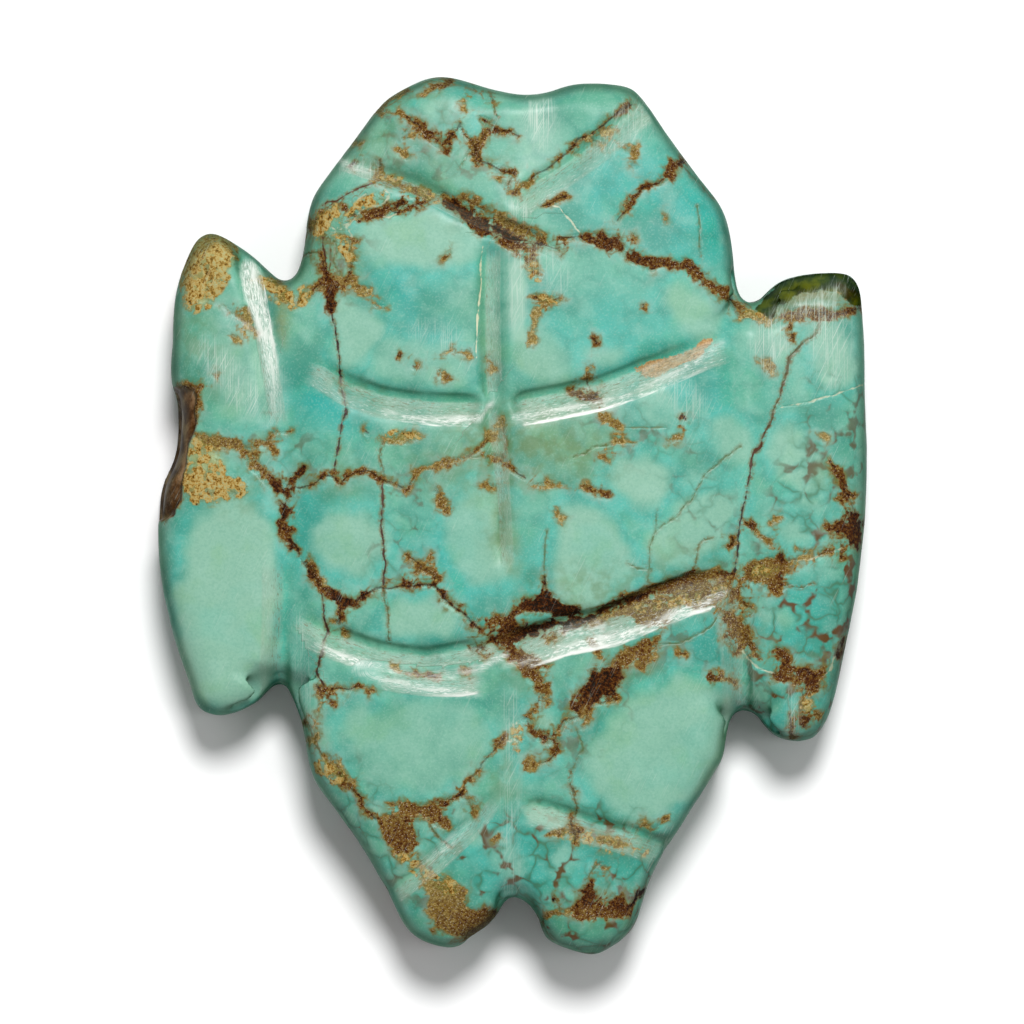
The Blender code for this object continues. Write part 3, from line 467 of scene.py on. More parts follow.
# %% Where the thin cracks run
CRACKS = [
    # the long crack on the left and those around it
    Stroke((2.5, 3, 2.6), (0.3, 0.05), [(321, 205), (322, 232), (325, 261), (328, 288), (331, 310), (337, 337), (340, 369)]),
    Stroke((2.6, 3, 2.4), 0.1, [(340, 369), (344, 394), (347, 410), (343, 424), (340, 443), (335, 472)]),
    Stroke((3, 2), 0.3, [(326, 203), (338, 200), (351, 194), (366, 187), (382, 178)]),
    Stroke((2, 3, 2), 0.4, [(311, 224), (322, 219), (334, 208), (346, 205)]), Stroke((2, 2.4), 0.5, [(303, 258), (312, 254), (318, 252)]),
    # thin cream lines of the net on the left shoulder
    Stroke((1.8, 3, 1.8), 0.85, [(344, 228), (352, 222), (362, 212), (372, 206), (384, 204)]), Stroke((1.8, 3, 1.8), 0.85, [(362, 212), (358, 202), (366, 194)]),
    Stroke((1.8, 3, 1.8), 0.85, [(352, 222), (346, 230), (352, 238), (350, 248)]), Stroke((1.8, 3, 1.8), 0.85, [(372, 206), (376, 216), (392, 218), (404, 212)]),
    Stroke((1.8, 3), 0.85, [(325, 214), (330, 226), (338, 234)]), Stroke((1.8, 3), 0.85, [(384, 204), (392, 197), (386, 190)]),
    Stroke(2, 0.55, [(326, 236), (336, 244), (346, 256), (354, 266)]), Stroke(2, 0.55, [(336, 244), (334, 262), (340, 276)]),
    # the right crack, from the flipper's end to the lower band
    Stroke((3.2, 4, 3.6), (0.5, 0.35), [(823, 315), (818, 322), (814, 334), (806, 341), (797, 349), (791, 356), (786, 375), (779, 395)]),
    Stroke((3.8, 4.2, 3.6, 3), (0.45, 0.3, 0.1), [(779, 395), (773, 409), (768, 426), (760, 441), (753, 458), (750, 477), (745, 499)]),
    Stroke((3, 3.4, 3), 0.05, [(745, 499), (741, 510), (737, 538), (735, 560), (733, 575)]),
    Stroke(2, 0.9, [(775, 408), (790, 406), (809, 403), (830, 397), (845, 392), (862, 386)]),
    # around the nodules in the middle
    Stroke((3.2, 3), (0.15, 0.25), [(383, 587), (386, 560), (382, 519), (384, 479)]), Stroke((2, 1.8), 0.5, [(384, 590), (388, 612), (390, 641)]),
    Stroke((3.2, 3, 2.6), 0.15, [(322, 589), (325, 619), (329, 630), (323, 646), (319, 673), (325, 687)]),
    Stroke((2, 2.4), 0.5, [(384, 479), (381, 452), (384, 440)]), Stroke(2, 0.5, [(502, 424), (507, 445), (500, 458)]),
    Stroke((2.4, 2), 0.3, [(482, 630), (492, 622), (500, 616)]), Stroke(1.8, 0.6, [(546, 530), (545, 552), (545, 578)]),
    Stroke((1.8, 2.2, 1.8), 0.6, [(739, 447), (722, 460), (706, 473), (690, 500), (674, 519), (657, 530)]),
    Stroke((2, 2, 1.8), 0.6, [(657, 508), (655, 530), (649, 552), (648, 571), (647, 590)]), Stroke(2, 0.6, [(628, 563), (638, 568), (650, 571)]),
    Stroke((2, 2.2), 0.55, [(713, 538), (703, 542), (698, 547), (692, 572)]), Stroke((1.8, 1.8), 0.65, [(619, 428), (642, 428), (666, 427)]),
    Stroke((1.8, 2), 0.6, [(573, 457), (596, 448), (622, 441)]), Stroke(1.8, 0.6, [(697, 205), (699, 232), (700, 259)]),
    Stroke(1.8, 0.6, [(686, 170), (702, 186), (716, 200)]), Stroke(1.8, 0.6, [(470, 457), (484, 457), (494, 460)]),
    # cream scratches, and a painted highlight along the spine groove's left edge
    Stroke(2.4, 0.95, [(547, 205), (559, 209), (568, 219), (579, 232)]), Stroke((1.8, 2.8, 2.8, 1.6), 1.0, [(483, 249), (482, 288), (478, 326), (477, 359)]),
    # under the lower band
    Stroke((2.2, 2), 0.4, [(536, 703), (532, 712), (528, 716)]), Stroke((2.4, 2), 0.9, [(513, 723), (514, 740), (516, 753)]),
    Stroke((2, 2), 0.9, [(502, 738), (512, 742), (524, 736)]), Stroke((2, 2), 0.9, [(518, 718), (520, 728), (514, 738)]),
    Stroke((2, 2.4), 0.6, [(659, 645), (674, 643), (688, 640), (702, 632), (711, 624), (720, 615)]),
    Stroke((2.2, 2), 0.45, [(570, 770), (572, 788), (577, 808), (573, 823), (573, 840)]), Stroke(1.8, 0.6, [(577, 728), (582, 748), (572, 770)]),
    # the right flipper
    Stroke((2.4, 3, 2.4), 0.85, [(782, 563), (796, 560), (809, 558), (822, 555), (845, 548)]), Stroke((2, 2.4), 0.45, [(849, 494), (852, 505), (856, 516)]),
    Stroke((2.4, 3, 2.4), 0.9, [(736, 646), (745, 658), (758, 667), (772, 673)]), Stroke((2, 3, 2.6), 0.85, [(820, 679), (830, 668), (834, 658), (842, 646)]),
    Stroke((2.4, 2.6), 0.45, [(800, 684), (802, 698), (799, 712)]), Stroke(2, 0.5, [(722, 612), (728, 618), (733, 626)]),
    Stroke((2, 2), 0.5, [(787, 584), (800, 588), (812, 584)]),
    # the lower left and the tail
    Stroke((2.4, 2), 0.5, [(309, 724), (314, 742), (324, 756)]), Stroke((2, 2), 0.5, [(374, 818), (384, 817), (392, 812)]),
    Stroke((2, 2), 0.5, [(430, 824), (440, 838), (452, 846)]), Stroke((2, 2), 0.55, [(584, 880), (592, 868), (600, 862)]),
    Stroke((2, 2), 0.55, [(556, 900), (558, 908), (556, 914)]), Stroke((2, 2), 0.6, [(540, 920), (545, 930), (552, 940)]),
    # the head
    Stroke((2, 2), 0.45, [(515, 175), (508, 186), (512, 196)]), Stroke((2, 2), 0.5, [(412, 118), (409, 128), (404, 137)]),
    Stroke((2, 2), 0.5, [(498, 118), (494, 104), (492, 96)]), Stroke(1.8, 0.6, [(474, 150), (466, 158), (460, 170)]),
    Stroke((2.2, 2), 0.4, [(380, 160), (382, 172), (378, 180)]), Stroke(1.8, 0.9, [(404, 136), (412, 140), (416, 136)]),
]
print("thin cracks:", len(CRACKS))

# %% [markdown]
# ## Lace, stains and rubbed places
#
# Round the matrix the stone is stained ochre and olive. In a few places it breaks up into lace: cream
# or golden crumbs with brown between them. Elsewhere it was rubbed until it turned white. Bright
# streaks along some flank edges are scuffed stone with painted highlights, and a few groove walls and
# notches get painted shade. These have soft edges, so how much a point is inside them says enough.
# Their tone is their strength.

# %% Where the soft-edged marks are
GOLD_LACE = [
    Stroke((36, 52, 52, 28), (1, 1, 0.9), [(208, 240), (208, 260), (204, 282), (196, 298)]),
    Stroke((14, 18, 12), 0.6, [(190, 296), (202, 302), (212, 308)]),
    Stroke((12, 22, 18), 0.85, [(314, 232), (322, 222), (334, 211)]), Stroke((10, 14), 0.6, [(338, 240), (350, 262)]), Stroke((8, 12, 10), 0.5, [(346, 224), (362, 208), (384, 200)]),
    Stroke((14, 18, 12), 0.7, [(262, 284), (276, 292), (290, 300)]), Stroke((10, 14, 10), 0.6, [(294, 300), (302, 297), (308, 293)]),
    Stroke((26, 32, 26), 0.72, [(196, 452), (206, 462), (214, 470)]), Stroke((20, 28, 26, 14), 1, [(184, 476), (200, 486), (222, 488), (244, 492)]),
    Stroke((8, 12), 0.6, [(530, 266), (536, 276)]), Stroke((8, 12), 0.6, [(540, 300), (554, 302)]),
    Stroke((14, 16), 0.8, [(318, 766), (330, 774)]), Stroke((10, 16, 12), 0.5, [(404, 858), (416, 868), (424, 880)]),
    Stroke((8, 12), 0.7, [(512, 726), (514, 744)]), Stroke((14, 18), 0.6, [(434, 880), (446, 890)]),
    Stroke((6, 9), 0.7, [(804, 700), (811, 706)]), Stroke((8, 10), 0.5, [(376, 104), (398, 96)]),
    Stroke((8, 9), 0.6, [(746, 316), (762, 318)]), Stroke((10, 12), 0.5, [(640, 612), (720, 590)]),
    Stroke((8, 10), 0.45, [(746, 572), (774, 568)]), Stroke((8, 10), 0.4, [(380, 180), (440, 198)]),
    Stroke((14, 14), 0.4, [(392, 440), (416, 436)]), Stroke((10, 14, 12), 0.35, [(560, 832), (600, 838), (640, 846)]),
]
OLIVE = [
    Stroke((50, 76, 60), (0.4, 0.75, 0.5), [(430, 470), (520, 452), (590, 452)]), Stroke((50, 56), 0.6, [(470, 430), (540, 430)]),
    Stroke((12, 18, 18, 12), (0.9, 1, 0.8), [(503, 494), (504, 520), (506, 545), (508, 562)]),
    Stroke((40, 40), (0.6, 0.3), [(522, 662), (535, 712)]), Stroke((40, 50, 34), 0.6, [(580, 704), (620, 662), (660, 636)]),
    Stroke((50, 50), 0.4, [(372, 130), (440, 140)]), Stroke((46, 50), 0.5, [(326, 240), (350, 268)]),
    Stroke((36, 36), 0.5, [(196, 330), (206, 380)]), Stroke((40, 50), 0.5, [(214, 470), (246, 486)]),
    Stroke((36, 50), 0.5, [(396, 822), (404, 850)]), Stroke((40, 50), 0.45, [(732, 610), (800, 680)]),
    Stroke((40, 36), 0.4, [(830, 480), (852, 540)]), Stroke((40, 34), 0.5, [(580, 900), (624, 908)]),
    Stroke((26, 24), 0.6, [(500, 772), (506, 790)]), Stroke((30, 34), 0.5, [(560, 832), (640, 842)]),
    Stroke((40, 50, 40), 0.55, [(540, 590), (620, 590), (700, 570)]), Stroke((22, 26, 20), 0.6, [(400, 188), (450, 204), (520, 230)]),
    Stroke((30, 34), 0.5, [(300, 470), (350, 480)]), Stroke((18, 20), 0.6, [(340, 385), (376, 398)]),
    Stroke((30, 30), 0.5, [(436, 90), (420, 84)]), Stroke((26, 30), 0.45, [(500, 160), (480, 140)]),
]
WHITENED = [
    Stroke((22, 32, 14), (0.9, 1, 0.5), [(540, 106), (541, 124), (540, 146)]), Stroke((26, 34, 26), (0.9, 1, 0.6), [(768, 330), (768, 346), (770, 362)]),
    Stroke((40, 44), (0.7, 0.5), [(830, 330), (832, 366)]), Stroke((14, 20, 16), 0.75, [(786, 312), (808, 306), (830, 306)]),
    Stroke((10, 12), 0.7, [(791, 696), (792, 736)]), Stroke((26, 34), 0.7, [(206, 350), (250, 400)]), Stroke((24, 30), 0.5, [(268, 360), (272, 410)]),
    Stroke((12, 14), 0.8, [(342, 166), (370, 170)]), Stroke((14, 16), 0.8, [(514, 204), (522, 214)]), Stroke((12, 14), 0.6, [(620, 116), (636, 112)]),
    Stroke((14, 18, 16), (0.5, 0.7, 0.5), [(516, 256), (517, 290), (516, 322)]), Stroke((30, 30), 0.45, [(540, 262), (556, 280)]),
    Stroke((30, 34), 0.45, [(672, 388), (690, 404)]), Stroke((10, 12, 10), 0.6, [(511, 695), (511, 780), (511, 890)]),
    Stroke((14, 20), 0.4, [(744, 660), (746, 704)]), Stroke((16, 24), 0.4, [(300, 620), (306, 720)]), Stroke((16, 24), 0.5, [(600, 150), (640, 128)]),
    Stroke((8, 10), 0.8, [(776, 312), (838, 290)]), Stroke((20, 26), 0.4, [(420, 330), (450, 340)]),
]
CRACKLE = [
    Stroke((130, 150), (0.9, 1), [(470, 870), (590, 880)]), Stroke((60, 70), (0.8, 0.8), [(340, 790), (400, 850)]),
    Stroke((70, 90, 110, 120, 110), (0.6, 1, 1), [(836, 396), (832, 450), (812, 530), (806, 610), (800, 700)]),
    Stroke((60, 60), 0.4, [(690, 470), (720, 560)]), Stroke((40, 50), 0.5, [(600, 430), (680, 440)]),
    Stroke((60, 60), 0.6, [(335, 235), (340, 270)]), Stroke((90, 70), 0.5, [(390, 130), (480, 150)]), Stroke((60, 50), 0.5, [(620, 640), (700, 640)]),
    Stroke((60, 60), 0.6, [(600, 700), (560, 740)]), Stroke((60, 60), 0.5, [(410, 500), (400, 560)]), Stroke((60, 50), 0.5, [(270, 440), (300, 460)]),
]
# bright streaks on grazed flanks: scuffed stone, with painted highlights along the flank edges
GRAZED_HIGHLIGHTS = [
    # the groove of the left flipper
    Stroke((12, 17, 15, 11, 12, 12, 8), (0.9, 1, 1, 1, 0.8, 0.5, 0.2), [(250, 266), (252, 284), (257, 303), (265, 325), (270, 346), (273, 372), (276, 410)]),
    Stroke((2, 4, 3), 0.5, [(218, 306), (236, 320), (260, 334)]),
    # the lower band, right of the spine and left of it
    Stroke((3, 5, 6), 0.5, [(504, 664), (524, 660), (550, 654)]), Stroke((6, 10, 11, 9), (0.7, 1, 1, 0.9), [(556, 650), (584, 644), (612, 637), (640, 629)]),
    Stroke((8, 11, 9, 5), (0.8, 0.9, 1, 0.8), [(646, 627), (672, 615), (698, 606), (725, 592)]), Stroke((8, 10), 0.5, [(560, 632), (600, 626)]),
    Stroke((4, 8, 9, 6), (0.6, 0.9, 1, 0.7), [(318, 644), (336, 653), (356, 660), (380, 665)]), Stroke((3, 7, 8, 7, 3), (0.5, 0.7, 0.6, 0.9, 0.8), [(356, 670), (388, 680), (424, 687), (456, 691), (478, 694)]),
    Stroke((4, 7, 7, 5), (0.4, 0.6, 0.7, 0.9), [(420, 671), (450, 673), (480, 668), (505, 654)]), Stroke((4, 6, 4), 0.6, [(380, 668), (410, 672), (440, 678)]),
    # the upper band
    Stroke((4, 5, 5, 4), (0.8, 0.8, 0.7, 0.5), [(514, 418), (548, 412), (590, 404), (628, 396)]), Stroke((4, 5, 5, 3), (0.4, 0.6, 0.6, 0.4), [(640, 389), (672, 374), (700, 359), (722, 344)]),
    Stroke((3, 5, 7, 5), (0.5, 0.8, 1, 1), [(384, 411), (410, 418), (446, 421), (480, 418)]), Stroke((2.4, 3.4, 2.4), 1, [(481, 419), (486, 412), (491, 404)]),
    # the head and the tail
    Stroke((6, 9, 6), (0.3, 0.5, 0.3), [(420, 866), (440, 850), (470, 822)]), Stroke((3, 6, 4), 0.6, [(336, 160), (352, 166), (368, 172)]),
]
# painted shade: soft dark strokes on groove walls and in notches
SHADED = [
    Stroke((6, 8, 8, 6), (0.8, 1, 0.9, 0.6), [(505, 256), (506, 300), (505, 350), (503, 392)]), Stroke((7, 8, 8), (0.7, 0.9, 0.8), [(483, 252), (483, 310), (484, 390)]),
    Stroke((8, 12, 8), 0.6, [(497, 408), (499, 416), (501, 426)]),
    Stroke((9, 11, 10), (0.4, 0.6, 0.7), [(560, 804), (620, 822), (676, 842)]),
    Stroke((8, 10), 0.5, [(366, 164), (440, 190)]), Stroke((7, 9), 0.5, [(236, 262), (246, 310)]), Stroke((12, 18), 0.6, [(282, 690), (282, 716)]),
    Stroke((10, 14), 0.5, [(752, 700), (756, 730)]), Stroke((6, 8), 0.7, [(700, 560), (728, 566)]), Stroke((40, 60), 0.3, [(210, 250), (240, 290)]),
]
print("soft-edged marks:", len(GOLD_LACE + OLIVE + WHITENED + CRACKLE + GRAZED_HIGHLIGHTS + SHADED))

# %% [markdown]
# ## Patches with a crisp outline
#
# A few places have their own material up to a clear edge: the olive skin left on the right flipper's
# end, the broken brown face of the left flipper, a tan film in a groove and two smooth pale faces.
# Each is a closed outline in the drawing. The helper measures how far a place is from the outline,
# less than zero inside, because a distance stays sharp between the points of the skin.

# %% Where the crisp patches are
OLIVE_SKIN = [
    [(753, 309), (775, 284), (795, 275), (822, 272), (848, 272), (862, 281), (864, 306), (851, 305), (838, 292), (819, 289), (799, 294), (781, 304), (771, 318), (762, 314)],
]
BROKEN = [
    [(166, 388), (196, 388), (195, 420), (192, 440), (187, 460), (183, 484), (181, 500), (176, 516), (150, 524)],
]
TAN_FILM = [
    [(634, 369), (660, 361), (687, 351), (704, 341), (716, 337), (702, 354), (682, 365), (662, 375), (644, 376)],
]
SMOOTH_FACE = [
    [(518, 804), (534, 801), (552, 806), (566, 813), (572, 822), (560, 830), (544, 829), (528, 822)],
    [(506, 262), (514, 258), (527, 262), (528, 300), (527, 344), (508, 343)],
]


def beyond(places, outlines):
    """How far each place is outside the closed outlines, and less than zero inside them."""
    edge, inside = np.full(len(places), FAR), np.zeros(len(places), bool)
    for outline in outlines:
        for a, b in zip(np.array(outline, float), np.roll(outline, -1, axis=0)):
            share = np.clip((places - a) @ (b - a) / ((b - a) @ (b - a)), 0, 1)
            edge = np.minimum(edge, np.linalg.norm(places - a - share[:, None] * (b - a), axis=1))
            crosses = (a[1] > places[:, 1]) != (b[1] > places[:, 1])
            meeting = a[0] + (places[:, 1] - a[1]) * (b[0] - a[0]) / (b[1] - a[1] or 1.0)
            inside ^= crosses & (places[:, 0] < meeting)
    return np.where(inside, -edge, edge)


print("crisp patches:", len(OLIVE_SKIN + BROKEN + TAN_FILM + SMOOTH_FACE))

# %% [markdown]
# ## The stone's own colour
#
# Turquoise is bluest where it is dense and turns green and pale in rounded nodules. A few named tones,
# each laid down in soft areas over the last, give the broad colour. The blue also gathers in a rim
# round every nodule.

# %% Tones and where they lie
STRENGTH = 0.855
HAZE = 0.012


def tone(red, green, blue):
    """A tone as it looks under the lamp, from 0 to 255, as the stone's own linear colour."""
    shown = np.array([red, green, blue]) / 255
    linear = np.where(shown < 0.04045, shown / 12.92, ((shown + 0.055) / 1.055) ** 2.4)
    return np.maximum(linear - HAZE, 0.001) * STRENGTH


SEA_GREEN = tone(108, 178, 154)
GROUND = [
    (tone(26, 168, 158), 40, [
        Stroke((34, 46, 40), 1, [(376, 282), (404, 292), (436, 318)]),
        Stroke((90, 100), 0.8, [(620, 190), (700, 226)]),
        Stroke((40, 46), 1, [(318, 402), (350, 416)]),
        Stroke((70, 80), 0.6, [(610, 320), (700, 390)]),
        Stroke((50, 50), 0.8, [(430, 560), (464, 590)]),
        Stroke((80, 90), 0.8, [(800, 620), (796, 690)]),
        Stroke((80, 90), 0.7, [(500, 850), (600, 860)]),
        Stroke((50, 50), 0.7, [(300, 500), (316, 556)]),
        Stroke((50, 60), 0.8, [(670, 650), (724, 640)]),
        Stroke((40, 50), 0.7, [(520, 560), (530, 590)]),
        Stroke((40, 44), 0.6, [(530, 290), (560, 340)]),
    ]),
    (tone(116, 160, 124), 30, [
        Stroke((40, 60, 50), (0.8, 1, 0.8), [(440, 462), (530, 446), (600, 446)]),
        Stroke((60, 50), 0.6, [(380, 150), (450, 165)]),
        Stroke((50, 50), 0.8, [(326, 240), (340, 280)]),
        Stroke((40, 60), 0.6, [(212, 320), (204, 380)]),
        Stroke((30, 36), 0.5, [(444, 306), (458, 312)]),
        Stroke((30, 40), 0.7, [(500, 350), (540, 372)]),
    ]),
    (tone(84, 158, 128), 24, [
        Stroke((30, 40), 0.8, [(580, 92), (636, 98)]), Stroke((18, 24), 0.7, [(850, 560), (852, 640)]),
        Stroke((30, 50), 0.7, [(416, 900), (440, 930)]), Stroke((40, 50), 0.8, [(560, 930), (620, 932)]),
        Stroke((20, 30), 0.6, [(180, 300), (178, 380)]),
    ]),
    (tone(122, 124, 84), 9, [
        Stroke((22, 32, 26), 1, [(784, 306), (806, 297), (836, 298)]),
    ]),
    (tone(148, 156, 108), 9, [
        Stroke((16, 24, 24, 14), (0.9, 1, 0.9), [(502, 486), (504, 516), (506, 545), (509, 570)]),
        Stroke((10, 14, 7), (0.9, 0.8, 0.6), [(281, 300), (283, 322), (284, 344)]),
    ]),
    (tone(206, 198, 134), 8, [
        Stroke((32, 46, 44, 24), 1, [(208, 240), (208, 258), (205, 280), (198, 294)]),
        Stroke((24, 34, 24), 0.9, [(194, 452), (206, 460), (214, 466)]),
    ]),
    (tone(146, 118, 54), 8, [
        Stroke((16, 24, 22, 12), 0.9, [(182, 480), (200, 489), (222, 491), (244, 493)]),
        Stroke((16, 20, 14), 0.5, [(262, 284), (276, 292), (290, 299)]),
    ]),
    # painted light: a lighter band on the shaded wall of the lower-left groove
    (tone(156, 220, 194), 4, [
        Stroke((4, 7, 8, 7, 4), (0.4, 0.9, 0.6), [(340, 632), (390, 645), (427, 650), (460, 645), (484, 636)]),
    ]),
    (tone(170, 200, 182), 24, [
        Stroke((30, 40), 0.4, [(776, 344), (836, 356)]), Stroke((20, 24), 0.4, [(516, 262), (517, 320)]),
        Stroke((24, 30), 0.4, [(541, 108), (541, 140)]), Stroke((20, 24), 0.2, [(236, 352), (262, 400)]),
    ]),
]
NODULE = tone(141, 190, 166)
NODULE_RIM = tone(84, 186, 172)
RIM_WIDTH = 9
NODULES = [
    Stroke((90, 112, 96), 1, [(232, 540), (226, 600), (226, 662)]),
    Stroke((84, 100, 84), 0.55, [(388, 750), (416, 744), (446, 738)]),
    Stroke((110, 126, 104), 0.8, [(640, 768), (664, 746), (688, 728)]),
    Stroke((66, 80, 72), 0.95, [(586, 536), (592, 562), (584, 580)]),
    Stroke((50, 60, 50), 0.8, [(480, 504), (474, 536), (482, 562)]),
    Stroke((50, 54), 1, [(632, 476), (646, 480)]), Stroke((60, 64), 0.85, [(340, 540), (356, 542)]),
    Stroke((46, 62, 48), 0.9, [(380, 244), (420, 238), (462, 246)]), Stroke((36, 38), 0.8, [(440, 108), (452, 112)]),
    Stroke((40, 44), 0.85, [(402, 618), (446, 618)]), Stroke((50, 64, 44), 0.85, [(672, 548), (698, 528), (720, 508)]),
    Stroke((44, 54, 40), 0.9, [(790, 446), (800, 464), (812, 480)]), Stroke((32, 36), 0.7, [(724, 430), (736, 450)]),
    Stroke((42, 50), 0.75, [(682, 304), (700, 322)]), Stroke((30, 40), 0.6, [(646, 392), (660, 414)]),
    Stroke((46, 60), 0.3, [(236, 346), (246, 400)]), Stroke((40, 52, 38), 0.8, [(350, 312), (358, 332), (352, 352)]),
    Stroke((50, 46), 0.5, [(400, 358), (450, 368)]), Stroke((40, 46), 0.7, [(830, 336), (834, 366)]),
    Stroke((24, 28), 0.9, [(541, 716), (545, 719)]), Stroke((20, 24), 0.9, [(530, 750), (536, 752)]),
    Stroke((12, 14), 0.8, [(574, 707), (577, 709)]), Stroke((12, 13), 0.9, [(367, 787), (369, 787)]),
    Stroke((14, 15), 0.9, [(374, 806), (384, 809)]), Stroke((14, 18), 0.9, [(416, 822), (424, 824)]),
    Stroke((16, 18), 0.8, [(452, 812), (458, 816)]), Stroke((20, 20), 0.7, [(478, 834), (484, 838)]),
    Stroke((30, 26), 0.6, [(360, 712), (352, 734)]), Stroke((24, 30), 0.6, [(316, 720), (320, 740)]),
    Stroke((24, 24), 0.6, [(400, 880), (408, 892)]), Stroke((36, 30), 0.6, [(500, 850), (516, 870)]),
    Stroke((30, 30), 0.6, [(560, 870), (570, 856)]), Stroke((40, 50), 0.5, [(560, 372), (540, 352)]),
    Stroke((22, 26), 0.7, [(600, 350), (606, 356)]), Stroke((30, 30), 0.7, [(760, 600), (780, 616)]),
    Stroke((26, 24), 0.6, [(756, 690), (766, 706)]), Stroke((22, 22), 0.6, [(806, 500), (816, 508)]),
    Stroke((20, 24), 0.7, [(790, 530), (800, 536)]), Stroke((22, 26), 0.7, [(260, 440), (262, 452)]),
]
print("nodules:", len(NODULES))

# %% [markdown]
# ## Writing the marks on the stone
#
# A hand never draws a straight line, so the places are made to wander a little before the strokes
# are looked up. Each point then keeps what it found as attributes, and the material reads them.

# %% Keep every mark with the stone's points
wandering = places + sway(places, 26, 4.0, 1.0) + sway(places, 11, 1.6, 5.0)
matrix = nearest(wandering, MATRIX)
cracks = nearest(places + sway(places, 18, 2.5, 9.0) + sway(places, 7, 0.8, 15.0), CRACKS)
write("matrix_way", "FLOAT_VECTOR", np.column_stack([matrix.way, matrix.gap]) * PIXEL)
write("matrix_kind", "FLOAT_VECTOR", np.column_stack([matrix.width * PIXEL, matrix.tone, matrix.tone * 0]))
write("crack_way", "FLOAT_VECTOR", np.column_stack([cracks.way, cracks.gap]) * PIXEL)
write("crack_kind", "FLOAT_VECTOR", np.column_stack([cracks.width * PIXEL, cracks.tone, cracks.tone * 0]))
write("cut", "FLOAT_VECTOR", np.column_stack([cut.along * PIXEL, cut_across, cut_strength]))
write("cut_depth", "FLOAT", cut_depth)

roaming = places + sway(places, 40, 9.0, 2.0)
lace = soft_area(roaming, GOLD_LACE, 5)
olive = soft_area(roaming, OLIVE, 24)
whitened = soft_area(places, WHITENED, 9)
crackle = soft_area(roaming, CRACKLE, 18)
write("marks", "FLOAT_COLOR", np.column_stack([lace, olive, whitened, crackle]))

ground = np.tile(SEA_GREEN, (len(places), 1))
for colour, softness, strokes in GROUND:
    share = soft_area(roaming, strokes, softness)[:, None]
    ground += share * (colour - ground)
nodule = nearest(roaming + sway(places, 15, 5.0, 22.0), NODULES)
nodule_edge = nodule.gap - nodule.width / 2
inside = (nodule.tone * (1 - eased(nodule_edge, -12, 5)))[:, None]
rim = (0.75 * nodule.tone * np.exp(-(((nodule_edge - 6) / RIM_WIDTH) ** 2)))[:, None]
ground += rim * (NODULE_RIM - ground)
ground += inside * (NODULE - ground)
write("ground", "FLOAT_COLOR", np.column_stack([ground, 1 - inside]))
write("shaded", "FLOAT", soft_area(places, SHADED, 4))
write("grazed_highlight", "FLOAT", soft_area(places + sway(places, 9, 1.6, 14.0), GRAZED_HIGHLIGHTS, 3))
scalloped = places + sway(places, 14, 3.0, 12.0) + sway(places, 6, 1.2, 16.0)
patch_edges = [beyond(scalloped, outlines) for outlines in (OLIVE_SKIN, BROKEN, TAN_FILM, SMOOTH_FACE)]
write("patches", "FLOAT_COLOR", np.column_stack(patch_edges) * PIXEL)
print("brown over", round(float((matrix.gap < matrix.width / 2).mean()) * 100), "percent of the stone")

# %% [markdown]
# ## Low relief
#
# Matrix is softer than turquoise, so polishing leaves it a little lower and rougher, and the polished
# face itself is never quite flat. Each point is moved along its normal by a few hundredths of a
# millimetre.

# %% Sink the matrix and ripple the face
RIPPLE = 0.018
FINE_RIPPLE = 0.007
MATRIX_DEPTH = 0.045
GROOVE_DEPTH, GROOVE_REACH = 0.09, 7
UNDERSIDE_EDGE = 0.35
CHIP_DEPTH = 0.14

stone.data.vertices.foreach_set("co", (skin_points * MM).ravel())
stone.data.update()
normals = np.empty(len(skin_points) * 3)
stone.data.vertices.foreach_get("normal", normals)
in_matrix = 1 - eased(matrix.gap - matrix.width / 2, -3, 1.5)
pitted = 0.6 + 0.4 * wave(skin_points, 0.3, 40)
lift = RIPPLE * wave(skin_points, 1.6, 0) + FINE_RIPPLE * wave(skin_points, 0.5, 20)
lift -= RIPPLE + FINE_RIPPLE + MATRIX_DEPTH * in_matrix * pitted
lift -= CHIP_DEPTH * (1 - eased(patch_edges[1], -4, 0))
lift -= GROOVE_DEPTH * cut_depth * np.exp(-((cut.gap / GROOVE_REACH) ** 2))
lift *= eased(skin_points[:, 2], UNDERSIDE_EDGE, 2 * UNDERSIDE_EDGE)
skin_points = skin_points + lift[:, None] * normals.reshape(-1, 3)
stone.data.vertices.foreach_set("co", (skin_points * MM).ravel())
stone.data.shade_smooth()
stone.data.update()
stone.data.vertices.foreach_get("normal", normals)
write("steepness", "FLOAT", 1 - normals.reshape(-1, 3)[:, 2])
print("the relief is", round(float(np.ptp(lift)), 3), "mm deep")

# %% [markdown]
# ## The material
#
# The material is built from small steps, each a node. A few helpers name those steps, so that the
# material below reads as a recipe. A value that is the same everywhere goes straight on a socket.

# %% Helpers for the material
turquoise = bpy.data.materials.new("veined_turquoise")
turquoise.use_nodes = True
recipe = turquoise.node_tree
shader = recipe.nodes["Principled BSDF"]


def add(kind, **settings):
    """A new node with its settings."""
    made = recipe.nodes.new(kind)
    for name, value in settings.items():
        setattr(made, name, value)
    return made


def fill(socket, value):
    """Joins a node's output to a socket, or sets a plain value on it."""
    if isinstance(value, bpy.types.NodeSocket):
        recipe.links.new(value, socket)
    else:
        socket.default_value = value


def sums(operation, *values):
    """One step of arithmetic."""
    made = add("ShaderNodeMath", operation=operation)
    for socket, value in zip(made.inputs, values):
        fill(socket, value)
    return made.outputs[0]


def step(value, start, end, low=0.0, high=1.0):
    """A soft step from low at the start to high at the end."""
    made = add("ShaderNodeMapRange", interpolation_type="SMOOTHSTEP")
    for socket, given in zip(made.inputs, (value, start, end, low, high)):
        fill(socket, given)
    return made.outputs[0]


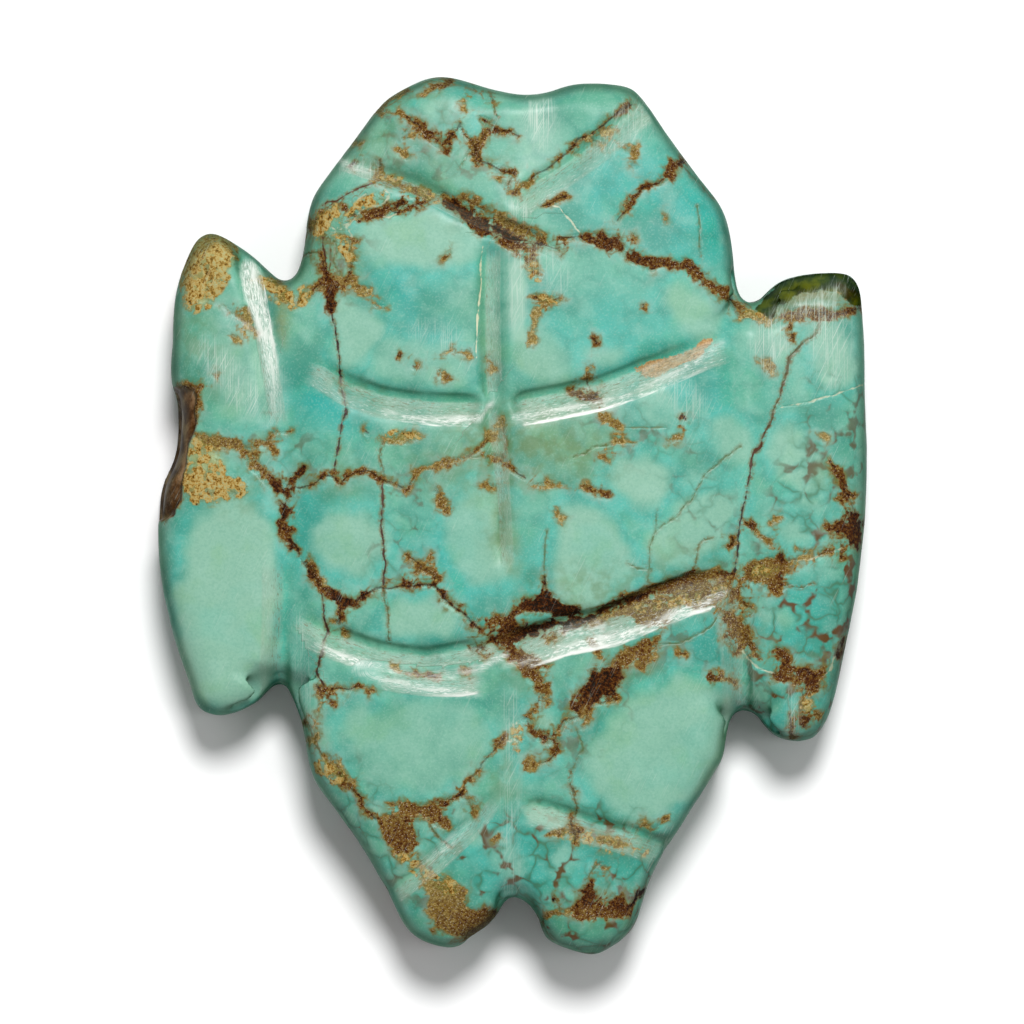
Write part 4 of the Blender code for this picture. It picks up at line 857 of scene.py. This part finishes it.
def over(share, below, above, mode="MIX"):
    """One colour laid over another by its share."""
    made = add("ShaderNodeMix", data_type="RGBA", blend_type=mode)
    fill(made.inputs[0], share)
    for socket, colour in zip((made.inputs[6], made.inputs[7]), (below, above)):
        fill(socket, colour if isinstance(colour, bpy.types.NodeSocket) else (*colour, 1.0))
    return made.outputs[2]


def mark(name):
    """What the stone's points keep under a name, as a colour, a vector, an alpha and a number."""
    made = add("ShaderNodeAttribute", attribute_name=name)
    return [made.outputs[kind] for kind in ("Color", "Vector", "Alpha", "Fac")]


def parts(vector):
    """The three numbers of a vector."""
    made = add("ShaderNodeSeparateXYZ")
    fill(made.inputs[0], vector)
    return made.outputs


def joined(*numbers):
    """A vector from up to three numbers."""
    made = add("ShaderNodeCombineXYZ")
    for socket, number in zip(made.inputs, numbers):
        fill(socket, number)
    return made.outputs[0]


def stretched(vector, sizes, move=(0.0, 0.0, 0.0)):
    """A vector scaled and moved, so that a pattern on it is stretched to the given sizes."""
    made = add("ShaderNodeMapping")
    fill(made.inputs["Vector"], vector)
    made.inputs["Scale"].default_value = [1 / size for size in sizes]
    made.inputs["Location"].default_value = move
    return made.outputs[0]


def grain(vector, detail=2.0, roughness=0.5, colour=False):
    """Cloudy noise with features one unit wide."""
    made = add("ShaderNodeTexNoise")
    fill(made.inputs["Vector"], vector)
    made.inputs["Scale"].default_value = 1.0
    made.inputs["Detail"].default_value = detail
    made.inputs["Roughness"].default_value = roughness
    return made.outputs["Color" if colour else "Fac"]


def grain_of(size, detail=2.0, layer=0.0, colour=False):
    """Cloudy noise in the stone, with features of a size in millimetres."""
    return grain(stretched(in_stone, [size * MM] * 3, (layer, layer, layer)), detail, colour=colour)


in_stone = add("ShaderNodeTexCoord").outputs["Object"]
print("the material's recipe starts with", len(recipe.nodes), "nodes")

# %% [markdown]
# ## Blue-green ground
#
# The broad colour comes from the points. Clouds of three sizes make it bluer, greener and paler,
# softly, because polished turquoise has no hard edges of its own. The steep sides were never
# polished and are less glossy, and their colour is darkened as painted shade.

# %% The ground colour
GREENER = (0.9, 0.94, 0.74)
BLUER = (0.68, 0.98, 1.04)
PALE_CLOUD = tone(160, 204, 184)
DEEP_TEAL = tone(50, 136, 118)
# painted shade for the steep sides, laid on further down
STEEP_SIDE_SHADE = (0.26, 0.36, 0.28)


def shifted(vector, size, reach):
    """Coordinates that wander by up to the reach, in millimetres."""
    centred = add("ShaderNodeVectorMath", operation="SUBTRACT")
    fill(centred.inputs[0], grain_of(size, 1.0, 5.0, colour=True))
    centred.inputs[1].default_value = (0.5, 0.5, 0.5)
    moved = add("ShaderNodeVectorMath", operation="MULTIPLY_ADD")
    fill(moved.inputs[0], centred.outputs[0])
    moved.inputs[1].default_value = [reach * MM] * 3
    fill(moved.inputs[2], vector)
    return moved.outputs[0]


wandered = shifted(in_stone, 0.45, 0.45)


def cells(size, layer, feature="F1", output="Distance"):
    """How far a point is from its cell's middle or wall, in cells, or the cell's own colour."""
    made = add("ShaderNodeTexVoronoi", feature=feature)
    fill(made.inputs["Vector"], stretched(wandered, [size * MM] * 3, (layer, 0, 0)))
    made.inputs["Scale"].default_value = 1.0
    return made.outputs[output]


ground_colour, _, openness, _ = mark("ground")
colour = over(step(grain_of(2.4, 3.0, 3.0), 0.5, 0.66, 0.0, 0.4), ground_colour, BLUER, "MULTIPLY")
colour = over(step(grain_of(1.5, 3.0, 7.0), 0.5, 0.66, 0.0, 0.5), colour, GREENER, "MULTIPLY")
pebble_gaps = sums("MULTIPLY", step(cells(1.5, 21.0), 0.45, 0.9, 0.0, 0.6), openness)
colour = over(pebble_gaps, colour, DEEP_TEAL)
small_gaps = sums("MULTIPLY", step(cells(0.6, 23.0), 0.45, 0.9, 0.0, 0.4), openness)
colour = over(small_gaps, colour, DEEP_TEAL)
colour = over(step(grain_of(0.7, 3.0, 11.0), 0.5, 0.7, 0.0, 0.22), colour, PALE_CLOUD)
colour = over(step(grain_of(0.09, 1.0, 19.0), 0.4, 0.7, 0.0, 0.14), colour, DEEP_TEAL)
colour = over(step(grain_of(0.06, 0.0, 20.0), 0.5, 0.8, 0.0, 0.2), colour, PALE_CLOUD)
print("ground made")

# %% [markdown]
# ## Joints between the pebbles
#
# Toward the tail and the right flipper the stone is a pack of small pebbles with dark joints. A cell
# texture gives the distance to the nearest cell wall, and a joint is wherever that is small. Joints are
# broad and teal with a thin olive line here and there, and where three of them meet lies a brown speck.

# %% The joints
OLIVE_LINE = tone(78, 96, 44)
BROWN_SPECK = tone(92, 64, 22)

marks = mark("marks")
lace_share, olive_share, white_share = parts(marks[1])
crackle_share = marks[2]
walls = cells(0.72, 31.0, "DISTANCE_TO_EDGE")
patchy = step(grain_of(0.9, 2.0, 21.0), 0.4, 0.6)
joint = sums("MULTIPLY", step(walls, 0.0, 0.24, 0.8, 0.0), sums("MULTIPLY_ADD", patchy, 0.75, 0.25))
joint = sums("MULTIPLY", joint, crackle_share)
colour = over(joint, colour, DEEP_TEAL)
net = sums("MULTIPLY", sums("MULTIPLY", step(walls, 0.0, 0.08, 0.48, 0.0), patchy), crackle_share)
colour = over(net, colour, OLIVE_LINE)
specks = sums("MULTIPLY", step(cells(0.72, 31.0), 0.6, 0.74), step(grain_of(0.5, 2.0, 27.0), 0.46, 0.56))
colour = over(sums("MULTIPLY", specks, crackle_share), colour, BROWN_SPECK)
print("joints made")

# %% [markdown]
# ## Stain, cracks and matrix
#
# A stroke's material asks how far the nearest stroke is. Near a thin line the way to it gives the
# exact answer, and away from every line the distance does, so the larger of the two is used, less
# a little slack. Strong noise added to the answer turns an even band into blots along a thread.
# From outside in, a vein goes from an olive stain through ochre to maroon, all with soft edges.

# %% Veins from the strokes
SLACK = 0.085
OLIVE_STAIN = tone(92, 116, 62)
GOLD_STAIN = tone(122, 122, 62)
OCHRE = tone(116, 90, 34)
PALE_HAZE = tone(150, 184, 172)
FRINGE = tone(112, 100, 44)
GLINT = tone(212, 196, 168)
MATRIX_TONES = [
    (0.0, tone(40, 18, 8)), (0.2, tone(80, 44, 24)), (0.4, tone(108, 76, 40)),
    (0.6, tone(134, 108, 58)), (0.8, tone(162, 136, 78)), (1.0, tone(208, 188, 134)),
]
CRACK_TONES = [(0.0, tone(30, 14, 6)), (0.3, tone(84, 52, 22)), (0.6, tone(84, 104, 56)), (1.0, tone(226, 226, 196))]


swing = parts(grain_of(0.4, 3.0, 41.0, colour=True))


def clear_of(name, fray):
    """How far a point is from the nearest stroke's line, in millimetres."""
    x, y, gap = parts(mark(name)[1])
    x = sums("MULTIPLY_ADD", sums("SUBTRACT", swing[0], 0.5), fray, x)
    y = sums("MULTIPLY_ADD", sums("SUBTRACT", swing[1], 0.5), fray, y)
    straight = sums("SQRT", sums("ADD", sums("MULTIPLY", x, x), sums("MULTIPLY", y, y)))
    return sums("MAXIMUM", straight, sums("SUBTRACT", gap, SLACK))


def tones_by(value, tones):
    """A colour picked along a row of tones."""
    made = add("ShaderNodeValToRGB")
    fill(made.inputs[0], value)
    ramp = made.color_ramp
    for place, shade in tones[1:-1]:
        ramp.elements.new(place)
    for element, (place, shade) in zip(ramp.elements, tones):
        element.position = place
        element.color = (*shade, 1.0)
    return made.outputs[0]


matrix_width, matrix_tone, _ = parts(mark("matrix_kind")[1])
matrix_line = clear_of("matrix_way", 0.16)
bubbles, small_bubbles = cells(0.5, 9.0), cells(0.24, 13.0)
gritty = grain(stretched(in_stone, [0.13 * MM] * 3, (51, 0, 0)), 3.0, 0.7)
swell = sums("MULTIPLY_ADD", bubbles, 0.34, -0.17)
swell = sums("ADD", swell, sums("MULTIPLY_ADD", small_bubbles, 0.2, -0.1))
swell = sums("ADD", swell, sums("MULTIPLY_ADD", gritty, 0.2, -0.1))
frayed = sums("SUBTRACT", sums("MULTIPLY_ADD", matrix_width, -0.5, matrix_line), swell)
matrix_share = step(frayed, -0.07, 0.03, 1.0, 0.0)
thread = sums("MULTIPLY", step(matrix_line, 0.01, 0.05, 0.6, 0.0), step(matrix_tone, 0.4, 0.55, 1.0, 0.0))
thread = sums("MULTIPLY", thread, step(matrix_width, 0.18, 0.28, 1.0, 0.0))

olive_clouds = step(sums("ADD", grain_of(0.5, 3.0, 63.0), sums("MULTIPLY", bubbles, 0.25)), 0.52, 0.76, 0.05, 0.8)
colour = over(sums("MULTIPLY", olive_share, olive_clouds), colour, OLIVE_STAIN)
haze = step(frayed, 0.0, 0.42, 0.42, 0.0)
colour = over(sums("MULTIPLY", haze, patchy), colour, PALE_HAZE)
halo = sums("MULTIPLY", step(frayed, -0.02, 0.24, 0.6, 0.0), step(swing[2], 0.38, 0.6, 0.2, 1.0))
colour = over(halo, colour, over(matrix_tone, OLIVE_STAIN, GOLD_STAIN))
fringe = sums("MULTIPLY", step(frayed, -0.03, 0.12, 0.85, 0.0), step(gritty, 0.36, 0.6, 0.45, 1.0))
colour = over(fringe, colour, FRINGE)

crack_width, crack_tone, _ = parts(mark("crack_kind")[1])
crack_line = clear_of("crack_way", 0.07)
crack_swell = sums("MULTIPLY_ADD", crack_width, 0.27, sums("MULTIPLY_ADD", small_bubbles, 0.07, -0.035))
crack_broken = sums("SUBTRACT", crack_line, crack_swell)
crack_share = sums("MULTIPLY", step(crack_broken, -0.02, 0.022, 1.0, 0.0), step(crack_tone, 0.3, 0.6, 1.0, 0.7))
crack_share = sums("MAXIMUM", crack_share, sums("MULTIPLY", step(crack_broken, -0.02, 0.02, 1.0, 0.0), step(crack_tone, 0.95, 0.99)))
crack_fringe = sums("MULTIPLY", step(crack_broken, 0.0, 0.12, 0.75, 0.0), step(crack_tone, 0.5, 0.7, 1.0, 0.0))
colour = over(sums("MULTIPLY", crack_fringe, step(gritty, 0.35, 0.6)), colour, OCHRE)
colour = over(crack_share, colour, tones_by(crack_tone, CRACK_TONES))

speckle = sums("SUBTRACT", grain(stretched(in_stone, [0.09 * MM] * 3, (81, 0, 0)), 2.0, 0.75), 0.5)
paler_edge = step(frayed, -0.13, 0.02, 0.0, 0.2)
matrix_value = sums("ADD", sums("MULTIPLY_ADD", speckle, 1.5, matrix_tone), paler_edge)
matrix_colour = tones_by(matrix_value, MATRIX_TONES)
glints = step(grain_of(0.045, 1.0, 85.0), 0.62, 0.7, 0.0, 0.55)
matrix_colour = over(sums("MULTIPLY", glints, step(matrix_tone, 0.1, 0.4)), matrix_colour, GLINT)
colour = over(sums("MULTIPLY", matrix_share, step(matrix_tone, 0.4, 0.75, 0.97, 0.72)), colour, matrix_colour)
colour = over(thread, colour, CRACK_TONES[0][1])
print("veins made")

# %% [markdown]
# ## Golden lace
#
# The lace is a mass of crumbs, cream, pale green and golden, with ochre and brown between them. Noise
# with many octaves sorts them: where it is low lies the brown, and the higher it is the paler the
# crumb. A second noise frays the mass into the turquoise round it.

# %% The lace
CRUMBS = [
    (0.0, tone(84, 56, 22)), (0.25, tone(144, 106, 46)), (0.5, tone(190, 160, 94)),
    (0.75, tone(208, 190, 136)), (1.0, tone(226, 222, 178)),
]

lace_near = step(lace_share, 0.02, 0.3)
lace_edge = sums("SUBTRACT", lace_share, step(grain_of(0.3, 4.0, 95.0), 0.36, 0.64, 0.05, 1.0))
lace_mask = sums("MULTIPLY", step(lace_edge, -0.06, 0.12), lace_near)
crumb = sums("ADD", sums("MULTIPLY_ADD", small_bubbles, -0.3, sums("MULTIPLY_ADD", gritty, 2.2, -0.48)), speckle)
colour = over(sums("MULTIPLY", step(lace_edge, -0.5, 0.05, 0.0, 0.7), lace_near), colour, GOLD_STAIN)
colour = over(sums("MULTIPLY", lace_mask, step(crumb, 0.45, 0.8, 0.95, 0.5)), colour, tones_by(crumb, CRUMBS))
print("lace made")

# %% [markdown]
# ## Crisp patches and painted shade
#
# The olive skin, the broken face, the tan film and the smooth pale faces end where their distance to
# the outline is zero, give or take some grit. The steep sides get painted shade, darker the steeper
# they are, and so do some walls of the grooves.

# %% Patches and painted shade
OLIVE_TONES = [(0.0, tone(44, 44, 6)), (0.5, tone(62, 68, 12)), (1.0, tone(92, 96, 28))]
BROKEN_TONES = [(0.0, tone(74, 50, 30)), (0.5, tone(118, 88, 60)), (1.0, tone(156, 124, 90))]
TAN_TONES = [(0.0, tone(120, 84, 44)), (0.5, tone(186, 136, 82)), (1.0, tone(220, 180, 128))]
PALE_FACE = tone(160, 200, 176)
WALL_SHADE = tone(88, 132, 92)

patches = mark("patches")
olive_edge, broken_edge, tan_edge = parts(patches[1])
grit_edge = sums("MULTIPLY_ADD", gritty, 0.16, -0.08)
olive_skin = step(sums("ADD", olive_edge, grit_edge), -0.03, 0.03, 1.0, 0.0)
broken_face = step(broken_edge, -0.03, 0.03, 1.0, 0.0)
tan_film = step(sums("ADD", tan_edge, sums("MULTIPLY", grit_edge, 1.6)), -0.04, 0.03, 0.92, 0.0)
colour = over(step(patches[2], -0.2, 0.04, 0.55, 0.0), colour, PALE_FACE)
cloudy = step(grain_of(0.5, 3.0, 65.0), 0.3, 0.7)
colour = over(sums("MULTIPLY", olive_skin, 0.92), colour, tones_by(cloudy, OLIVE_TONES))
colour = over(broken_face, colour, tones_by(sums("MULTIPLY_ADD", speckle, 0.8, cloudy), BROKEN_TONES))
colour = over(tan_film, colour, tones_by(sums("MULTIPLY_ADD", speckle, 2.0, 0.5), TAN_TONES))
# painted shade in the groove walls and notches
colour = over(sums("MULTIPLY", mark("shaded")[3], 0.22), colour, WALL_SHADE)
# painted shade on the steep sides: the steeper the side, the darker its colour
steepness = mark("steepness")[3]
steep_shade_share = step(steepness, 0.22, 0.66, 0.0, 0.9)
colour = over(steep_shade_share, colour, STEEP_SIDE_SHADE, "MULTIPLY")
print("patches made")

# %% [markdown]
# ## Saw marks
#
# The flanks were rubbed along their length with grit. Their marks are noise on the stone's own
# "along the cut" and "across the cut" numbers, stretched until it is all fine lines, so the lines
# follow each cut round its curve. The rubbed stone is whiter and greyer, with a painted highlight
# along each flank's lower edge, and the steep wall and the bottom of each groove get a little painted
# shade.

# %% The saw marks
RUBBED = tone(168, 184, 164)
SCUFFED = tone(206, 222, 208)
# white for grit on the flanks, and for painted highlights along their edges
GRIT_AND_HIGHLIGHT = tone(242, 246, 238)
DARK_GRIT = tone(118, 104, 76)
# painted shade tint for the walls and bottoms of the grooves
GROOVE_SHADE_TINT = (1.0, 1.0, 0.9)

along_cut, across_cut, cut_white = parts(mark("cut")[1])
cut_depth = mark("cut_depth")[3]
lines = grain(joined(sums("DIVIDE", along_cut, 0.2), sums("MULTIPLY", across_cut, 16.0), 0.0), 4.0, 0.7)
broad_lines = grain(joined(sums("DIVIDE", along_cut, 0.9), sums("MULTIPLY", across_cut, 4.0), 4.0), 3.0)
on_flank = sums("MULTIPLY", step(across_cut, -0.05, 0.15), step(across_cut, 0.88, 1.05, 1.0, 0.0))
on_flank = sums("MULTIPLY", on_flank, step(steepness, 0.35, 0.6, 1.0, 0.0))
# painted shade: the steep wall and bottom of each groove are tinted a little darker and yellower
groove_shade = sums("MULTIPLY", step(across_cut, -1.2, -0.1), step(across_cut, 0.0, 0.22, 1.0, 0.0))
groove_shade = sums("MULTIPLY", groove_shade, cut_depth)
colour = over(sums("MULTIPLY", groove_shade, 0.8), colour, GROOVE_SHADE_TINT, "MULTIPLY")
rub = sums("MULTIPLY", sums("MULTIPLY", on_flank, cut_depth), step(cut_white, 0.0, 1.0, 0.25, 0.6))
rub = sums("MULTIPLY", rub, sums("MULTIPLY_ADD", matrix_share, -0.75, 1.0))
colour = over(sums("MULTIPLY", rub, step(broad_lines, 0.35, 0.6, 0.5, 1.0)), colour, RUBBED)
dark_grit = sums("MULTIPLY", step(lines, 0.46, 0.36), step(across_cut, 0.1, 0.8, 0.75, 0.15))
colour = over(sums("MULTIPLY", sums("MULTIPLY", dark_grit, on_flank), cut_depth), colour, DARK_GRIT)
white_grit = sums("MULTIPLY", step(lines, 0.54, 0.66), step(across_cut, 0.1, 0.9, 0.2, 0.75))
colour = over(sums("MULTIPLY", sums("MULTIPLY", white_grit, on_flank), cut_white), colour, GRIT_AND_HIGHLIGHT)
# a painted highlight along each flank's lower edge
at_edge = sums("MULTIPLY", step(across_cut, 0.84, 0.94), step(across_cut, 0.97, 1.04, 1.0, 0.0))
painted_edge_highlight = sums("MULTIPLY", sums("MULTIPLY", at_edge, step(broad_lines, 0.4, 0.56)), step(cut_white, 0.6, 0.95))
colour = over(painted_edge_highlight, colour, GRIT_AND_HIGHLIGHT)
# grazed streaks: whitened scuffs and painted highlights
grazed_highlight = mark("grazed_highlight")[3]
streaks = sums("MAXIMUM", step(lines, 0.44, 0.6, 0.2, 1.0), step(broad_lines, 0.48, 0.62, 0.2, 0.85))
colour = over(sums("MULTIPLY", sums("MULTIPLY", grazed_highlight, streaks), 0.92), colour, GRIT_AND_HIGHLIGHT)

turned = add("ShaderNodeVectorRotate", rotation_type="Z_AXIS")
fill(turned.inputs["Vector"], in_stone)
turned.inputs["Angle"].default_value = 0.45
hair = grain(stretched(in_stone, (0.04 * MM, 1.5 * MM, 1.0 * MM)), 2.0, 0.6)
slant_hair = grain(stretched(turned.outputs[0], (0.035 * MM, 1.3 * MM, 1.0 * MM), (7.0, 0.0, 0.0)), 2.0, 0.6)
scratches = sums("MAXIMUM", step(hair, 0.48, 0.7), step(slant_hair, 0.5, 0.72, 0.0, 0.9))
white_scuffs = sums("MULTIPLY", white_share, sums("MULTIPLY_ADD", scratches, 0.7, 0.12))
white_scuffs = sums("MULTIPLY", white_scuffs, step(steepness, 0.35, 0.6, 1.0, 0.0))
colour = over(white_scuffs, colour, SCUFFED)
worn_zones = step(grain_of(1.2, 1.0, 141.0), 0.45, 0.65)
colour = over(sums("MULTIPLY", worn_zones, step(slant_hair, 0.6, 0.72, 0.0, 0.22)), colour, SCUFFED)
print("saw marks made")

# %% [markdown]
# ## Polish
#
# The polished turquoise is glossy, the matrix dull, and the rubbed flanks are in between. The fine
# relief that the mesh can't hold is a bump: sunken matrix and cracks, saw lines, and a trace of ripple.

# %% Gloss and fine relief
WAXY, DULL, RUBBED_ROUGHNESS = 0.4, 0.7, 0.45

roughness = step(grain_of(0.6, 2.0, 101.0), 0.3, 0.7, WAXY, WAXY + 0.1)
roughness = sums("MAXIMUM", roughness, sums("MULTIPLY", sums("MAXIMUM", matrix_share, lace_mask), DULL))
rubbed = sums("MAXIMUM", sums("MULTIPLY", on_flank, cut_depth), white_share)
roughness = sums("MAXIMUM", roughness, sums("MULTIPLY", rubbed, RUBBED_ROUGHNESS))
dull = sums("MULTIPLY", sums("MAXIMUM", sums("MAXIMUM", matrix_share, lace_mask), broken_face), 0.85)
gloss = sums("MULTIPLY_ADD", sums("MAXIMUM", steep_shade_share, sums("MAXIMUM", dull, olive_skin)), -0.28, 0.28)
matrix_gap, crack_gap = parts(mark("matrix_way")[1])[2], parts(mark("crack_way")[1])[2]
sunken = step(sums("MULTIPLY_ADD", matrix_width, -0.5, matrix_gap), -0.08, 0.08, 1.0, 0.0)
height = sums("MULTIPLY", sunken, sums("MULTIPLY_ADD", gritty, 0.07, -0.055))
height = sums("MULTIPLY_ADD", step(crack_gap, 0.0, 0.07, 1.0, 0.0), -0.015, height)
height = sums("MULTIPLY_ADD", sums("MULTIPLY", lace_share, gritty), 0.05, height)
height = sums("MULTIPLY_ADD", sums("MULTIPLY", sums("MULTIPLY", on_flank, cut_depth), lines), 0.018, height)
height = sums("MULTIPLY_ADD", grain_of(0.4, 1.0, 121.0), 0.004, height)
relief = add("ShaderNodeBump")
relief.inputs["Distance"].default_value = MM
relief.inputs["Strength"].default_value = 1.0
fill(relief.inputs["Height"], height)

fill(shader.inputs["Base Color"], colour)
fill(shader.inputs["Roughness"], roughness)
fill(shader.inputs["Normal"], relief.outputs[0])
shader.inputs["IOR"].default_value = 1.6
fill(shader.inputs["Specular IOR Level"], gloss)
stone.data.materials.append(turquoise)
print("the finished recipe has", len(recipe.nodes), "nodes")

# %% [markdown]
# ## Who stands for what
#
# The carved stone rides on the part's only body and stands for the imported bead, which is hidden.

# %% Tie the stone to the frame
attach(stone, "root")
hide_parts("turtle_bead")

# %% [markdown]
# ## A plain table, a soft lamp and the camera
#
# The bead was photographed from straight above on white. One soft lamp stands over the turtle's head,
# a little to the right, and the pale room fills the shadows. The camera is far off with a long lens,
# so the picture is nearly without perspective.

# %% The table
bpy.ops.object.select_all(action="DESELECT")
bpy.ops.mesh.primitive_plane_add(size=1.2)
table = bpy.context.active_object
table.name = "table"
white = bpy.data.materials.new("white_table")
white.use_nodes = True
white.node_tree.nodes["Principled BSDF"].inputs["Base Color"].default_value = (0.93, 0.93, 0.93, 1.0)
white.node_tree.nodes["Principled BSDF"].inputs["Roughness"].default_value = 0.8
table.data.materials.append(white)
print("the table is 1.2 m wide")

# %% The lamps and the room
LAMP_DISTANCE, LAMP_SIZE = 0.45, 0.13
LAMPS = {"main_lamp": (62, 8, 2.0), "side_lamp": (58, 95, 0.18)}
ROOM_LIGHT = 0.37
DARK_CEILING = 0.6


def hang_lamp(name, height, turn, power):
    """A soft lamp aimed at the bead, so many degrees up and so many degrees round from the head."""
    up, turn = np.radians(height), np.radians(turn)
    data = bpy.data.lights.new(name, "AREA")
    data.shape, data.size, data.energy = "DISK", LAMP_SIZE, power
    lamp = bpy.data.objects.new(name, data)
    lamp.location = LAMP_DISTANCE * np.array([np.sin(turn) * np.cos(up), np.cos(turn) * np.cos(up), np.sin(up)])
    lamp.rotation_euler = lamp.location.to_track_quat("Z", "Y").to_euler()
    bpy.context.scene.collection.objects.link(lamp)


for name, (height, turn, power) in LAMPS.items():
    hang_lamp(name, height, turn, power)

room = bpy.data.worlds.new("room")
room.use_nodes = True
nodes, links = room.node_tree.nodes, room.node_tree.links
nodes["Background"].inputs["Color"].default_value = (1.0, 1.0, 1.0, 1.0)
direction = nodes.new("ShaderNodeTexCoord")
upwards = nodes.new("ShaderNodeSeparateXYZ")
ceiling = nodes.new("ShaderNodeMapRange")
ceiling.interpolation_type = "SMOOTHSTEP"
for socket, value in zip(ceiling.inputs[1:5], (0.86, 0.94, ROOM_LIGHT, ROOM_LIGHT * DARK_CEILING)):
    socket.default_value = value
links.new(direction.outputs["Generated"], upwards.inputs[0])
links.new(upwards.outputs["Z"], ceiling.inputs["Value"])
links.new(ceiling.outputs[0], nodes["Background"].inputs["Strength"])
bpy.context.scene.world = room
bpy.context.scene.view_settings.view_transform = "Standard"
print("lamps:", len(LAMPS))

# %% The camera
PICTURE = 1024
WAIST = 2.0
CAMERA_HEIGHT = 550.0

camera_data = bpy.data.cameras.new("camera")
camera = bpy.data.objects.new("camera", camera_data)
bpy.context.scene.collection.objects.link(camera)
camera_data.sensor_width = 36
camera_data.lens = 36 * (CAMERA_HEIGHT - WAIST) / (PICTURE * PIXEL)
camera_data.clip_start = 0.01
centre = (np.array([PICTURE / 2, PICTURE / 2]) - MIDDLE) * [1, -1] * PIXEL
camera.location = (centre[0] * MM, centre[1] * MM, CAMERA_HEIGHT * MM)
bpy.context.scene.camera = camera
print("the lens is", round(camera_data.lens), "mm")

# %% [markdown]
# ## Sizes and the end
#
# The scene is brought up to date. The finished stone mustn't be larger than the imported bead.

# %% Finish
bpy.context.view_layer.update()
